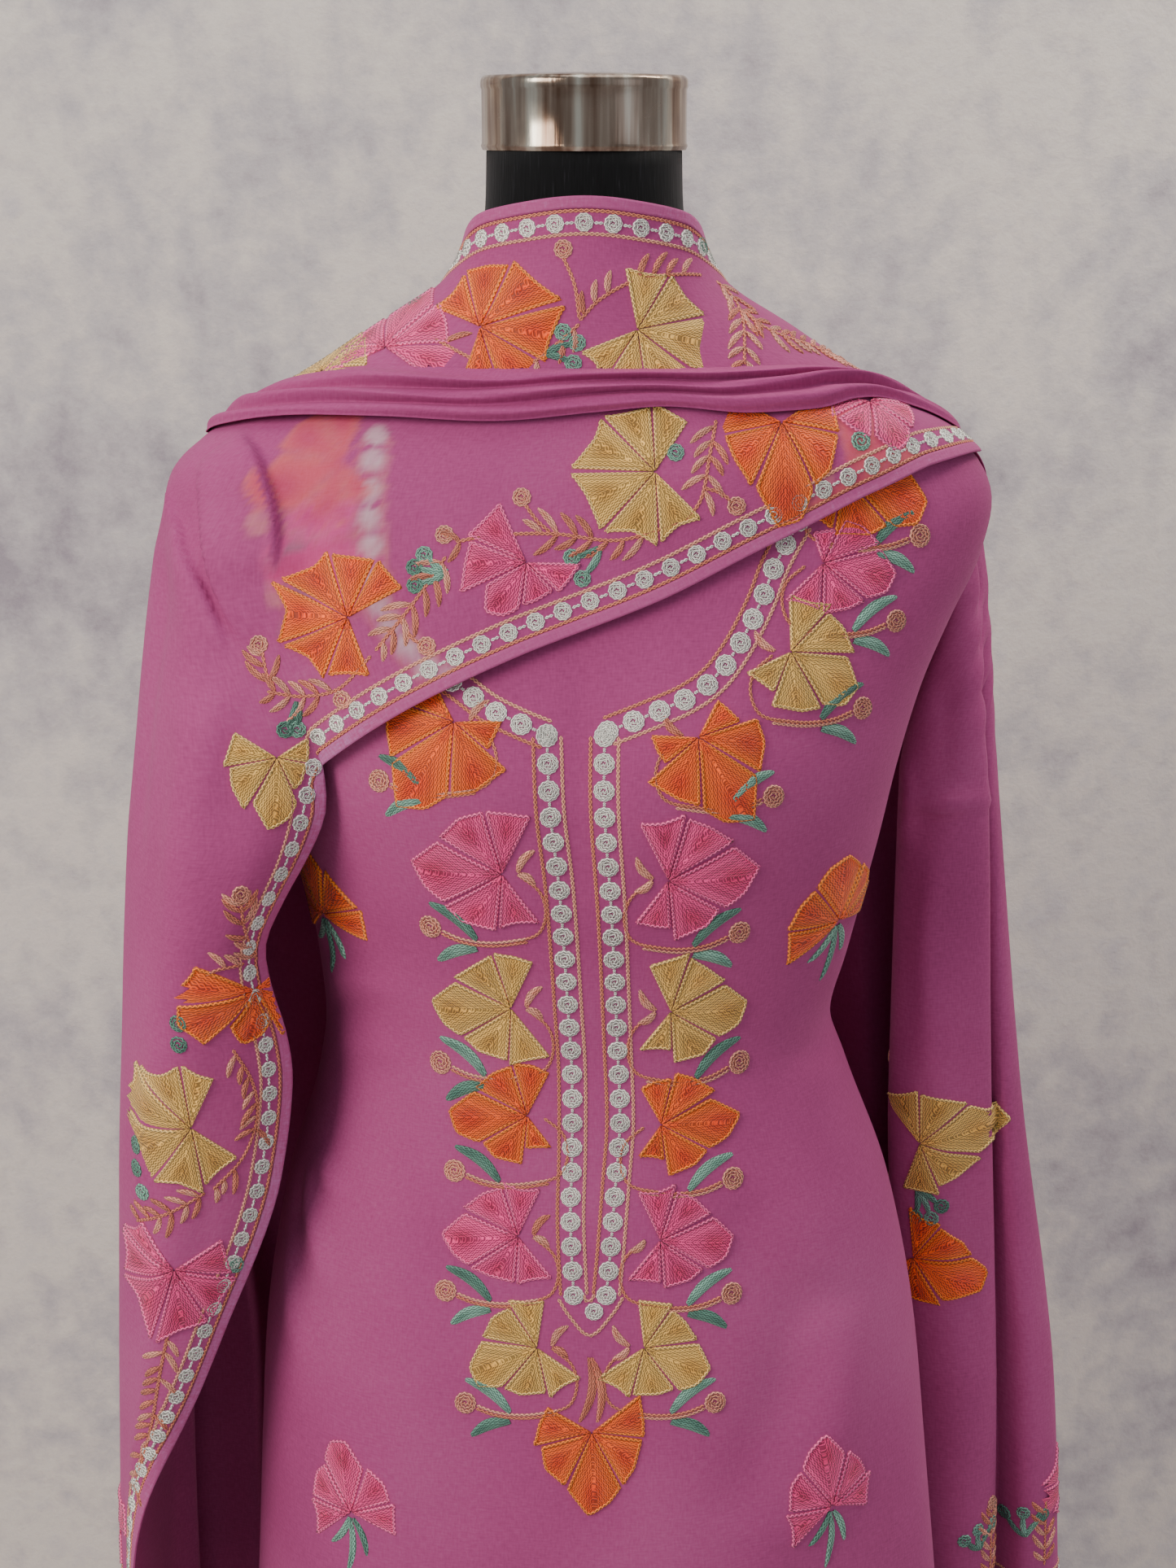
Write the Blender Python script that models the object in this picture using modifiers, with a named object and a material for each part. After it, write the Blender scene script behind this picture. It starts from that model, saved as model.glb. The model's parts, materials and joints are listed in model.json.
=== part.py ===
"""A salwar kameez suit worn by a limbless dress form on a round stand.

Metres, +Z up, the front faces -Y. The origin is the centre of the base's underside.
The cloth is a set of thin walls: a kameez of two panels, a dupatta laid from shoulder to
shoulder over the chest with both ends hanging, and a salwar under the kameez.
"""

import math

import bmesh
import bpy
import numpy as np
from mathutils import Vector

# Driving dimensions
CLOTH = 0.0015  # wall of every cloth piece
SEAM_GAP = 0.0003  # between pieces that are sewn or laid edge to edge
STEP_DEG = 10  # angle between the columns of the form and of what it wears
SQUARE = 2.3  # exponent of the rounded sections, 2 is an ellipse

NECK_TOP = 1.4600
CAP_HEIGHT = 0.0385
CAP_RADIUS = 0.0550
CAP_ROUNDING = 0.0040

BASE_RADIUS = 0.170
BASE_HEIGHT = 0.012
HUB_RADIUS = 0.028
HUB_HEIGHT = 0.026
POLE_RADIUS = 0.0125
FLANGE_RADIUS = 0.042
FLANGE_HEIGHT = 0.005
TORSO_BOTTOM = 0.720

KAMEEZ_NECK = 1.392
KAMEEZ_HEM = 0.330
SLIT_TOP = 0.800
SIDE_SEAM_DEG = -10  # the side seam lies this far behind the silhouette
SLIT_EDGE_DEG = 5  # the slit's edges stand this far apart from the side at the hem

SALWAR_WAIST = 0.945
YOKE_HEM = 0.700
CROTCH = 0.600
CROTCH_X = 0.0205  # the rise seam passes beside the pole, which goes down one leg
CUFF_TOP = 0.105
CUFF_HEM = 0.065

LEFT_HEM = 0.400  # the dupatta's two ends
RIGHT_HEM = 0.545

# The bare form. Half width, and depth before and behind the neck's axis, at each height.
FORM_COLUMNS = ("z", "right", "left", "front", "back")
FORM = (
    (1.460, 0.0520, 0.0520, 0.0520, 0.0520),
    (1.430, 0.0530, 0.0530, 0.0530, 0.0540),
    (1.405, 0.0565, 0.0565, 0.0555, 0.0580),
    (1.392, 0.0641, 0.0641, 0.0599, 0.0649),
    (1.380, 0.0720, 0.0720, 0.0602, 0.0656),
    (1.360, 0.1018, 0.1018, 0.0648, 0.0730),
    (1.340, 0.1383, 0.1383, 0.0727, 0.0824),
    (1.325, 0.1703, 0.1703, 0.0781, 0.0873),
    (1.310, 0.1963, 0.1963, 0.0832, 0.0920),
    (1.295, 0.2125, 0.2125, 0.0877, 0.0958),
    (1.275, 0.2200, 0.2200, 0.0930, 0.0995),
    (1.245, 0.2125, 0.2125, 0.1000, 0.1010),
    (1.215, 0.1970, 0.1970, 0.1080, 0.1010),
    (1.175, 0.1800, 0.1800, 0.1160, 0.0980),
    (1.130, 0.1680, 0.1680, 0.1200, 0.0930),
    (1.090, 0.1560, 0.1560, 0.1140, 0.0870),
    (1.020, 0.1350, 0.1350, 0.0980, 0.0810),
    (0.980, 0.1290, 0.1290, 0.0930, 0.0820),
    (0.945, 0.1320, 0.1320, 0.0950, 0.0860),
    (0.873, 0.1520, 0.1520, 0.1040, 0.0980),
    (0.786, 0.1710, 0.1710, 0.1090, 0.1090),
    (0.745, 0.1680, 0.1680, 0.1030, 0.1050),
    (0.727, 0.1560, 0.1560, 0.0940, 0.0960),
    (0.720, 0.1400, 0.1400, 0.0820, 0.0840),
)

# The inside of the kameez. Its rows over KAMEEZ_NECK carry the dupatta where it crosses the neck.
KAMEEZ = (
    (1.460, 0.0560, 0.0560, 0.0560, 0.0560),
    (1.430, 0.0570, 0.0570, 0.0560, 0.0580),
    (1.405, 0.0600, 0.0600, 0.0580, 0.0610),
    (1.392, 0.0650, 0.0650, 0.0608, 0.0658),
    (1.380, 0.0755, 0.0755, 0.0628, 0.0683),
    (1.360, 0.1070, 0.1070, 0.0678, 0.0758),
    (1.340, 0.1420, 0.1420, 0.0748, 0.0843),
    (1.325, 0.1740, 0.1740, 0.0803, 0.0893),
    (1.310, 0.1997, 0.1997, 0.0853, 0.0940),
    (1.295, 0.2155, 0.2155, 0.0900, 0.0980),
    (1.275, 0.2225, 0.2225, 0.0955, 0.1020),
    (1.245, 0.2165, 0.2165, 0.1035, 0.1040),
    (1.215, 0.2030, 0.2030, 0.1130, 0.1045),
    (1.175, 0.1868, 0.1868, 0.1230, 0.1020),
    (1.130, 0.1745, 0.1745, 0.1290, 0.0980),
    (1.090, 0.1662, 0.1640, 0.1260, 0.0950),
    (1.020, 0.1500, 0.1510, 0.1130, 0.0950),
    (0.980, 0.1407, 0.1480, 0.1080, 0.0970),
    (0.945, 0.1515, 0.1530, 0.1090, 0.1010),
    (0.873, 0.1780, 0.1740, 0.1170, 0.1130),
    (0.786, 0.1957, 0.1890, 0.1250, 0.1230),
    (0.711, 0.2040, 0.1945, 0.1280, 0.1250),
    (0.605, 0.2140, 0.2010, 0.1310, 0.1290),
    (0.500, 0.2210, 0.2100, 0.1340, 0.1330),
    (0.420, 0.2270, 0.2170, 0.1360, 0.1360),
    (0.330, 0.2340, 0.2240, 0.1380, 0.1390),
)

# Bust and shoulder-blade fullness: reach out, distance from the middle, spread across and down.
FORM_BUST = {"out": 0.011, "x": 0.075, "across": 0.045, "z": 1.150, "down": 0.050}
KAMEEZ_BUST = {"out": 0.010, "x": 0.062, "across": 0.066, "z": 1.150, "down": 0.060}

# Soft upright folds of the kameez's skirt: angle, width in degrees, depth at the hem (out is plus).
FOLDS_TOP = 0.860  # the height where the skirt's folds begin
SKIRT_FOLDS_COLUMNS = ("at", "width", "depth")
FRONT_FOLDS = (
    (22, 10, 0.012),
    (50, 11, -0.010),
    (75, 12, 0.009),
    (104, 12, -0.008),
    (132, 11, 0.011),
    (158, 10, -0.009),
)
BACK_FOLDS = (
    (205, 11, 0.011),
    (232, 11, -0.011),
    (258, 10, 0.012),
    (284, 10, -0.011),
    (308, 10, 0.012),
    (334, 10, -0.009),
)

# The dupatta's lines over the shoulders by the angle from the front: its upper edge at the neck,
# where the pleats begin and where they end.
LINES_COLUMNS = ("from_front", "edge", "fold", "low")
LINES = (
    (0, 1.441, 1.347, 1.325),
    (45, 1.430, 1.342, 1.321),
    (72, 1.415, 1.333, 1.313),
    (94, 1.403, 1.324, 1.306),
    (115, 1.384, 1.316, 1.301),
    (140, 1.343, 1.308, 1.295),
)
# How far the neck stretch stands off what it lies on, at its upper edge, half way and at the pleats.
STAND_OFF_COLUMNS = ("from_front", "edge", "half", "fold")
STAND_OFF = (
    (0, 0.0120, 0.0130, 0.0090),
    (45, 0.0090, 0.0110, 0.0080),
    (72, 0.0040, 0.0085, 0.0040),
    (94, 0.0020, 0.0070, 0.0018),
    (115, 0.0020, 0.0040, 0.0018),
    (140, 0.0025, 0.0025, 0.0018),
)
PLEATS = 3
PLEATS_OVER = 0.003  # the first pleat lies this far over the neck stretch
PLEAT_DEPTH = 0.0075
TUCK_UNDER = 0.009  # how far the falls reach up under the pleats
PLEATS_END_DEG = 125  # from the front, where the pleats have smoothed out

# The lower border across the chest, from the right shoulder to the turn at the left.
BORDER_COLUMNS = ("angle", "z")
BORDER = (
    (-9, 1.2995),
    (5, 1.3015),
    (20, 1.3015),
    (35, 1.2985),
    (50, 1.2890),
    (65, 1.2715),
    (80, 1.2480),
    (100, 1.2190),
    (118, 1.1910),
    (137, 1.1570),
)
CHEST_START_DEG = -9
CHEST_END_DEG = 137
TURN_GAP = 0.0022  # where the chest stretch meets the left fall at an angle

# The left fall, seen from above at each height: the border's edge, the ridge beside it,
# the front, the outer side, the back and the inner edge behind the shoulder.
LEFT_COLUMNS = ("z", "edge", "ridge", "front", "outer", "back", "inner")
LEFT_ANGLES = (CHEST_END_DEG, 148, 160, 180, 212, 228)
LEFT_FALL = (
    (1.250, (-0.168, -0.083), (-0.190, -0.076), (-0.214, -0.054), (-0.2345, 0.000), (-0.198, 0.088), (-0.088, 0.117)),
    (1.157, (-0.1385, -0.104), (-0.176, -0.115), (-0.214, -0.101), (-0.2460, -0.018), (-0.211, 0.090), (-0.090, 0.124)),
    (1.135, (-0.1345, -0.105), (-0.176, -0.120), (-0.216, -0.107), (-0.2480, -0.022), (-0.213, 0.090), (-0.091, 0.126)),
    (1.100, (-0.1465, -0.102), (-0.179, -0.126), (-0.219, -0.113), (-0.2515, -0.030), (-0.216, 0.092), (-0.094, 0.128)),
    (1.045, (-0.1715, -0.100), (-0.192, -0.121), (-0.224, -0.113), (-0.256, -0.034), (-0.220, 0.094), (-0.098, 0.131)),
    (0.978, (-0.1600, -0.092), (-0.192, -0.110), (-0.229, -0.109), (-0.260, -0.038), (-0.225, 0.096), (-0.102, 0.134)),
    (0.917, (-0.1670, -0.088), (-0.199, -0.105), (-0.234, -0.105), (-0.264, -0.040), (-0.229, 0.098), (-0.105, 0.137)),
    (0.800, (-0.2100, -0.090), (-0.230, -0.101), (-0.251, -0.093), (-0.269, -0.035), (-0.235, 0.102), (-0.110, 0.142)),
    (0.670, (-0.2600, -0.085), (-0.266, -0.072), (-0.272, -0.053), (-0.276, -0.018), (-0.240, 0.108), (-0.116, 0.147)),
    (0.400, (-0.2820, -0.042), (-0.284, -0.026), (-0.286, -0.008), (-0.284, 0.024), (-0.248, 0.118), (-0.126, 0.153)),
)
LEFT_WAVES = 3
LEFT_WAVE_DEPTH = 0.016

# The right fall behind the shoulder: the turned edge, the lit panel, a tuck, the outer fold and the back.
RIGHT_COLUMNS = ("z", "edge", "left", "middle", "right", "tuck", "second", "outer", "back", "inner")
RIGHT_ANGLES = (-9.3, -10.5, -12, -14, -16.5, -19, -23, -35, -48)
RIGHT_FALL = (
    (1.250, (0.2172, 0.031), (0.2178, 0.037), (0.2190, 0.043), (0.2215, 0.049), (0.2235, 0.055), (0.226, 0.062), (0.226, 0.075), (0.192, 0.099), (0.088, 0.118)),
    (1.100, (0.193, 0.070), (0.188, 0.046), (0.213, 0.032), (0.239, 0.041), (0.2370, 0.058), (0.249, 0.056), (0.256, 0.078), (0.226, 0.113), (0.092, 0.131)),
    (0.900, (0.197, 0.074), (0.188, 0.045), (0.219, 0.030), (0.250, 0.042), (0.2515, 0.066), (0.267, 0.053), (0.279, 0.078), (0.245, 0.122), (0.096, 0.141)),
    (0.545, (0.225, 0.078), (0.215, 0.046), (0.239, 0.031), (0.262, 0.045), (0.2675, 0.072), (0.287, 0.050), (0.310, 0.076), (0.268, 0.129), (0.107, 0.155)),
)
RIGHT_WAVES = 2
RIGHT_WAVE_DEPTH = 0.015

# The salwar's legs at each height: inner and outer side, and half depth. The pole is in the left one.
LEG_COLUMNS = ("z", "inner", "outer", "depth")
LEFT_LEG = ((0.580, 0.0170, -0.180, 0.100), (0.400, 0.0170, -0.172, 0.090), (0.220, 0.0170, -0.156, 0.070), (0.065, 0.0170, -0.138, 0.052))
RIGHT_LEG = ((0.580, 0.0245, 0.196, 0.100), (0.400, 0.0260, 0.196, 0.090), (0.220, 0.0290, 0.186, 0.070), (0.065, 0.0340, 0.176, 0.052))
LEG_FOLDS = 7
LEG_FOLD_DEPTH = 0.006


def clean_scene():
    for thing in list(bpy.data.objects):
        bpy.data.objects.remove(thing)


def curve_through(places, values, at):
    """Monotone cubic through (places, values), so that no table swings past its rows."""
    order = np.argsort(places)
    x, y = np.asarray(places, float)[order], np.asarray(values, float)[order]
    at = min(max(at, x[0]), x[-1])
    step = np.diff(x)
    slope = np.diff(y) / step
    tangent = np.zeros(len(x))
    tangent[0], tangent[-1] = slope[0], slope[-1]
    for i in range(1, len(x) - 1):
        if slope[i - 1] * slope[i] > 0:
            a, b = 2 * step[i] + step[i - 1], step[i] + 2 * step[i - 1]
            tangent[i] = (a + b) / (a / slope[i - 1] + b / slope[i])
    i = int(min(max(np.searchsorted(x, at) - 1, 0), len(x) - 2))
    t = (at - x[i]) / step[i]
    rise = y[i] * (1 + 2 * t) * (1 - t) ** 2 + y[i + 1] * t * t * (3 - 2 * t)
    return rise + step[i] * (tangent[i] * t * (1 - t) ** 2 - tangent[i + 1] * t * t * (1 - t))


def read(table, column, at):
    return curve_through([row[0] for row in table], [row[column] for row in table], at)


def ease(low, high, value):
    """0 below low, 1 above high, smooth between them."""
    t = min(max((value - low) / (high - low), 0.0), 1.0)
    return t * t * (3 - 2 * t)


def bust(shape, x, z):
    mound = math.exp(-(((abs(x) - shape["x"]) / shape["across"]) ** 2))
    return shape["out"] * mound * math.exp(-(((z - shape["z"]) / shape["down"]) ** 2))


def fold_sum(folds, angle):
    return sum(deep * math.exp(-(((angle - at) / wide) ** 2)) for at, wide, deep in folds)


def section_point(table, shape, angle_deg, z):
    """A point of a body section; 0 degrees is +X, 90 the front and 270 the back."""
    angle = math.radians(angle_deg)
    c, s = math.cos(angle), math.sin(angle)
    reach = (abs(c) ** SQUARE + abs(s) ** SQUARE) ** (-1 / SQUARE)
    x = read(table, 1 if c >= 0 else 2, z) * reach * c
    y = -read(table, 3 if s >= 0 else 4, z) * reach * s
    if s > 0:
        y -= bust(shape, x, z) * min(1.0, 2 * s)
    return Vector((x, y, z))


def form_point(angle_deg, z):
    return section_point(FORM, FORM_BUST, angle_deg, z)


def kameez_point(angle_deg, z):
    """The kameez's inside, with the folds of its skirt under the hips."""
    point = section_point(KAMEEZ, KAMEEZ_BUST, angle_deg, z)
    loose = ease(0, 1, (FOLDS_TOP - z) / (FOLDS_TOP - KAMEEZ_HEM))
    outward = Vector((point.x, point.y, 0)).normalized()
    return point + outward * loose * fold_sum(FRONT_FOLDS + BACK_FOLDS, angle_deg % 360)


def over_kameez(angle_deg, z, stand_off):
    """A point that far outside the kameez's outer face, along the body's normal."""
    here = section_point(KAMEEZ, KAMEEZ_BUST, angle_deg, z)
    across = section_point(KAMEEZ, KAMEEZ_BUST, angle_deg + 2, z) - section_point(KAMEEZ, KAMEEZ_BUST, angle_deg - 2, z)
    down = section_point(KAMEEZ, KAMEEZ_BUST, angle_deg, z - 0.003) - section_point(KAMEEZ, KAMEEZ_BUST, angle_deg, z + 0.003)
    normal = across.cross(down).normalized()
    if normal.dot(Vector((here.x, here.y, 0.02))) < 0:
        normal.negate()
    return here + normal * (CLOTH + stand_off)


def reach_of_kameez(x, y, z):
    """How far the kameez's inside lies from the axis, in the direction of (x, y)."""
    flat = math.hypot(x, y)
    width = read(KAMEEZ, 1 if x >= 0 else 2, z)
    depth = read(KAMEEZ, 3 if y <= 0 else 4, z)
    return flat / ((abs(x) / width) ** SQUARE + (abs(y) / depth) ** SQUARE) ** (1 / SQUARE)


def clear_of_kameez(point, gap):
    """Moves a point away from the axis until it lies that far outside the kameez's wall."""
    x, y, z = point
    reach = reach_of_kameez(x, y, z)
    slope = (reach_of_kameez(x, y, z - 0.004) - reach_of_kameez(x, y, z + 0.004)) / 0.008
    least = reach + (CLOTH + gap) * math.hypot(1, slope)
    flat = math.hypot(x, y)
    if flat >= least:
        return point
    return Vector((x * least / flat, y * least / flat, z))


def through(points, count):
    """Evenly spaced points along a smooth curve through the given ones."""
    ends = [points[0] * 2 - points[1], *points, points[-1] * 2 - points[-2]]
    fine = []
    for a, b, c, d in zip(ends, ends[1:], ends[2:], ends[3:]):
        for step in range(12):
            t = step / 12
            fine.append(0.5 * (2 * b + (c - a) * t + (2 * a - 5 * b + 4 * c - d) * t * t + (3 * b - a - 3 * c + d) * t**3))
    fine.append(points[-1].copy())
    run = np.concatenate([[0], np.cumsum([(q - p).length for p, q in zip(fine, fine[1:])])])
    picked = []
    for i in range(count + 1):
        at = run[-1] * i / count
        k = int(min(max(np.searchsorted(run, at) - 1, 0), len(fine) - 2))
        share = (at - run[k]) / max(run[k + 1] - run[k], 1e-9)
        picked.append(fine[k].lerp(fine[k + 1], share))
    return picked


def material(name, colour, roughness, metallic=0.0):
    made = bpy.data.materials.get(name) or bpy.data.materials.new(name)
    made.use_nodes = True
    shader = made.node_tree.nodes["Principled BSDF"]
    shader.inputs["Base Color"].default_value = (*colour, 1.0)
    shader.inputs["Roughness"].default_value = roughness
    shader.inputs["Metallic"].default_value = metallic
    return made


def place(name, mesh, look):
    thing = bpy.data.objects.new(name, mesh)
    mesh.materials.append(look)
    mesh.shade_smooth()
    mesh.set_sharp_from_angle(angle=math.radians(40))
    bpy.data.collections["salwar_kameez_suit"].objects.link(thing)
    return thing


def grid_mesh(name, rows, round_it=False, cap=False):
    """Quads between rows of points that run top to bottom, each row going from +X by the front."""
    mesh = bmesh.new()
    lines = [[mesh.verts.new(point) for point in row] for row in rows]
    for upper, lower in zip(lines, lines[1:]):
        count = len(upper)
        for i in range(count if round_it else count - 1):
            j = (i + 1) % count
            mesh.faces.new((upper[i], upper[j], lower[j], lower[i]))
    if cap:
        mesh.faces.new(lines[0])
        mesh.faces.new(list(reversed(lines[-1])))
        bmesh.ops.recalc_face_normals(mesh, faces=mesh.faces)
    data = bpy.data.meshes.new(name)
    mesh.to_mesh(data)
    mesh.free()
    return data


def cloth(name, rows, look, round_it=False, wall=CLOTH):
    """A cloth wall on rows of inside points; Solidify adds the wall on the outside."""
    thing = place(name, grid_mesh(name, rows, round_it), look)
    thicken = thing.modifiers.new("wall", "SOLIDIFY")
    thicken.thickness = wall
    thicken.offset = 1.0
    thicken.use_even_offset = True
    thicken.use_rim = True
    return thing


def turned(name, profile, look, segments=32):
    """A body turned about Z from (radius, z) points that run top to bottom."""
    mesh = bmesh.new()
    line = [mesh.verts.new((radius, 0, z)) for radius, z in profile]
    for a, b in zip(line, line[1:]):
        mesh.edges.new((a, b))
    data = bpy.data.meshes.new(name)
    mesh.to_mesh(data)
    mesh.free()
    thing = place(name, data, look)
    spin = thing.modifiers.new("turn", "SCREW")
    spin.steps = spin.render_steps = segments
    spin.use_merge_vertices = True
    spin.merge_threshold = 0.00001
    spin.use_smooth_shade = True
    return thing


def make_form(black):
    angles = range(0, 360, STEP_DEG)
    rows = [[form_point(angle, row[0]) for angle in angles] for row in FORM]
    place("form_torso", grid_mesh("form_torso", rows, round_it=True, cap=True), black)


def make_neck_cap(chrome):
    base, top = NECK_TOP + SEAM_GAP, NECK_TOP + CAP_HEIGHT
    round_off = [
        (CAP_RADIUS - CAP_ROUNDING * (1 - math.sin(a)), top - CAP_ROUNDING * (1 - math.cos(a)))
        for a in (math.radians(d) for d in (0, 22.5, 45, 67.5, 90))
    ]
    dome = [(0, top + 0.0015), (CAP_RADIUS * 0.6, top + 0.0010)]
    turned("neck_cap", dome + round_off + [(CAP_RADIUS - 0.0010, base), (0, base)], chrome)


def make_stand(chrome):
    rim = 0.004
    top = BASE_HEIGHT
    plate = [
        (0, top + HUB_HEIGHT),
        (POLE_RADIUS + 0.004, top + HUB_HEIGHT),
        (HUB_RADIUS * 0.75, top + HUB_HEIGHT - 0.008),
        (HUB_RADIUS, top + 0.003),
        (HUB_RADIUS * 1.5, top),
        (BASE_RADIUS - rim, top - 0.003),
        (BASE_RADIUS - 0.001, top - rim - 0.002),
        (BASE_RADIUS, 0.002),
        (BASE_RADIUS - 0.002, 0),
        (0, 0),
    ]
    turned("stand_base", plate, chrome, segments=40)
    foot = BASE_HEIGHT + HUB_HEIGHT + SEAM_GAP
    flange_low = TORSO_BOTTOM - SEAM_GAP - FLANGE_HEIGHT
    head = flange_low - SEAM_GAP
    turned("stand_pole", [(0, head), (POLE_RADIUS, head), (POLE_RADIUS, foot), (0, foot)], chrome, segments=24)
    flange = [
        (0, TORSO_BOTTOM - SEAM_GAP),
        (FLANGE_RADIUS - 0.001, TORSO_BOTTOM - SEAM_GAP),
        (FLANGE_RADIUS, TORSO_BOTTOM - SEAM_GAP - 0.001),
        (FLANGE_RADIUS, flange_low + 0.001),
        (FLANGE_RADIUS - 0.001, flange_low),
        (0, flange_low),
    ]
    turned("stand_flange", flange, chrome, segments=24)


def kameez_heights():
    return [row[0] for row in KAMEEZ if row[0] <= KAMEEZ_NECK + 1e-6]


def inset(row, first, last):
    """Draws in a row's ends by these lengths along the row, for a seam's gap."""
    row = list(row)
    row[0] = row[0] + (row[1] - row[0]).normalized() * first
    row[-1] = row[-1] + (row[-2] - row[-1]).normalized() * last
    return row


def kameez_panel(name, start, end, look):
    """One panel between two side seams, which open into slits under the hips."""
    count = round(abs(end - start) / STEP_DEG)
    rows = []
    for z in kameez_heights():
        opened = SLIT_EDGE_DEG * ease(0, 1, (SLIT_TOP - z) / (SLIT_TOP - KAMEEZ_HEM)) if z < SLIT_TOP else 0
        a, b = start + opened, end - opened
        angles = [a + (b - a) * i / count for i in range(count + 1)]
        rows.append(inset([kameez_point(angle, z) for angle in angles], SEAM_GAP, SEAM_GAP))
    cloth(name, rows, look)


def make_kameez(silk):
    left_seam = 180 - SIDE_SEAM_DEG
    kameez_panel("kameez_front", SIDE_SEAM_DEG, left_seam, silk)
    kameez_panel("kameez_back", left_seam, 360 + SIDE_SEAM_DEG, silk)


def from_front(angle_deg):
    return abs(angle_deg - 90)


def neck_stand_off(angle_deg, share):
    """Between the upper edge (share 0) and the pleats (share 1)."""
    side = from_front(angle_deg)
    rows = [read(STAND_OFF, column, side) for column in (1, 2, 3)]
    return curve_through((0, 0.5, 1), rows, share)


def pleat_stand_off(angle_deg, share):
    """The pleats lie over the neck stretch's lower edge and die out behind the shoulders."""
    edge, fold = (read(LINES, column, from_front(angle_deg)) for column in (1, 2))
    overlap = min(1 - (PLEATS_OVER * (1 - share * 4)) / (edge - fold), 1) if share < 0.25 else 1
    base = neck_stand_off(angle_deg, overlap) + CLOTH + 3 * SEAM_GAP
    alive = 1 - ease(60, PLEATS_END_DEG, from_front(angle_deg)) * 0.94
    return base + PLEAT_DEPTH * alive * math.sin(math.pi * PLEATS * share) ** 2


def make_neck_and_pleats(silk):
    reach = LINES[-1][0]
    columns = 28
    angles = [90 - reach + 2 * reach * i / columns for i in range(columns + 1)]
    neck, pleats = [], []
    neck_rows, pleat_rows = 6, 4 * PLEATS
    for k in range(neck_rows + 1):
        share = k / neck_rows
        row = []
        for angle in angles:
            edge, fold = (read(LINES, column, from_front(angle)) for column in (1, 2))
            row.append(over_kameez(angle, edge + (fold - edge) * share, neck_stand_off(angle, share)))
        neck.append(row)
    for k in range(pleat_rows + 1):
        share = k / pleat_rows
        row = []
        for angle in angles:
            fold, low = (read(LINES, column, from_front(angle)) for column in (2, 3))
            z = fold + PLEATS_OVER + (low - fold - PLEATS_OVER) * share
            row.append(over_kameez(angle, z, pleat_stand_off(angle, share)))
        pleats.append(row)
    cloth("dupatta_neck", neck, silk)
    cloth("dupatta_pleats", pleats, silk)


def under_pleats(angle_deg):
    """How far off the kameez the lower stretches start, with the pleats lying over them."""
    return min(0.75 * neck_stand_off(angle_deg, 1), 0.0045)


def top_of_fall(angle_deg):
    """Where a fall comes out from under the pleats."""
    z = read(LINES, 3, from_front(angle_deg)) + TUCK_UNDER
    return over_kameez(angle_deg, z, under_pleats(angle_deg))


def guide(table, column, angle_deg, z):
    """One guide of a fall at a height: from under the pleats down through the table's rows."""
    top = top_of_fall(angle_deg)
    heights = [top.z, *(row[0] for row in table)]
    xs = [top.x, *(row[column][0] for row in table)]
    ys = [top.y, *(row[column][1] for row in table)]
    hanging = Vector((curve_through(heights, xs, z), curve_through(heights, ys, z), z))
    lying = over_kameez(angle_deg, z, under_pleats(angle_deg))
    return Vector((*lying.xy.lerp(hanging.xy, ease(0.012, 0.045, top.z - z)), z))


def fall_gap(point):
    """The falls lie close on the shoulders, under the pleats, and hang freer below them."""
    angle = math.degrees(math.atan2(-point.y, point.x)) % 360
    low = read(LINES, 3, from_front(angle - 360 if angle > 270 else angle))
    return 0.0013 + 0.0030 * ease(0, 1, (low - 0.002 - point.z) / 0.018)


def fall_row(table, angles, heights, count, wave_from, waves, depth):
    """A row across a fall, with the waves of loose cloth added from a share of its width on."""
    points = [guide(table, i + 1, angle, z) for i, (angle, z) in enumerate(zip(angles, heights))]
    row = through(points, count)
    waved = []
    for i, point in enumerate(row):
        share = i / count
        along = row[min(i + 1, count)] - row[max(i - 1, 0)]
        outward = Vector((along.y, -along.x, 0)).normalized()
        if share > wave_from:
            phase = (share - wave_from) / (1 - wave_from)
            point = point + outward * depth * math.sin(2 * math.pi * waves * phase) * ease(0, 0.2, phase)
        waved.append(clear_of_kameez(point, fall_gap(point)))
    return waved


def chest_point(angle_deg, share):
    """The chest stretch between the pleats and the lower border."""
    top = read(LINES, 3, from_front(angle_deg)) + 0.004
    z = top + (read(BORDER, 1, angle_deg) - top) * share
    start = under_pleats(angle_deg)
    swell = 0.004 * math.sin(math.pi * min(share * 1.1, 1.0))
    return over_kameez(angle_deg, z, start + swell * ease(10, 60, angle_deg))


LEFT_TOP_ROWS = 8
LEFT_LOW_ROWS = 11


def left_heights(k):
    """Heights of the left fall's guides in row k; the upper rows end at the border's turn."""
    turn = BORDER[-1][1]
    heights = []
    for angle in LEFT_ANGLES:
        top = top_of_fall(angle).z
        if k <= LEFT_TOP_ROWS:
            heights.append(top + (turn - top) * (k / LEFT_TOP_ROWS) ** 1.5)
        else:
            heights.append(turn + (LEFT_HEM - turn) * (k - LEFT_TOP_ROWS) / LEFT_LOW_ROWS)
    return heights


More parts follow.
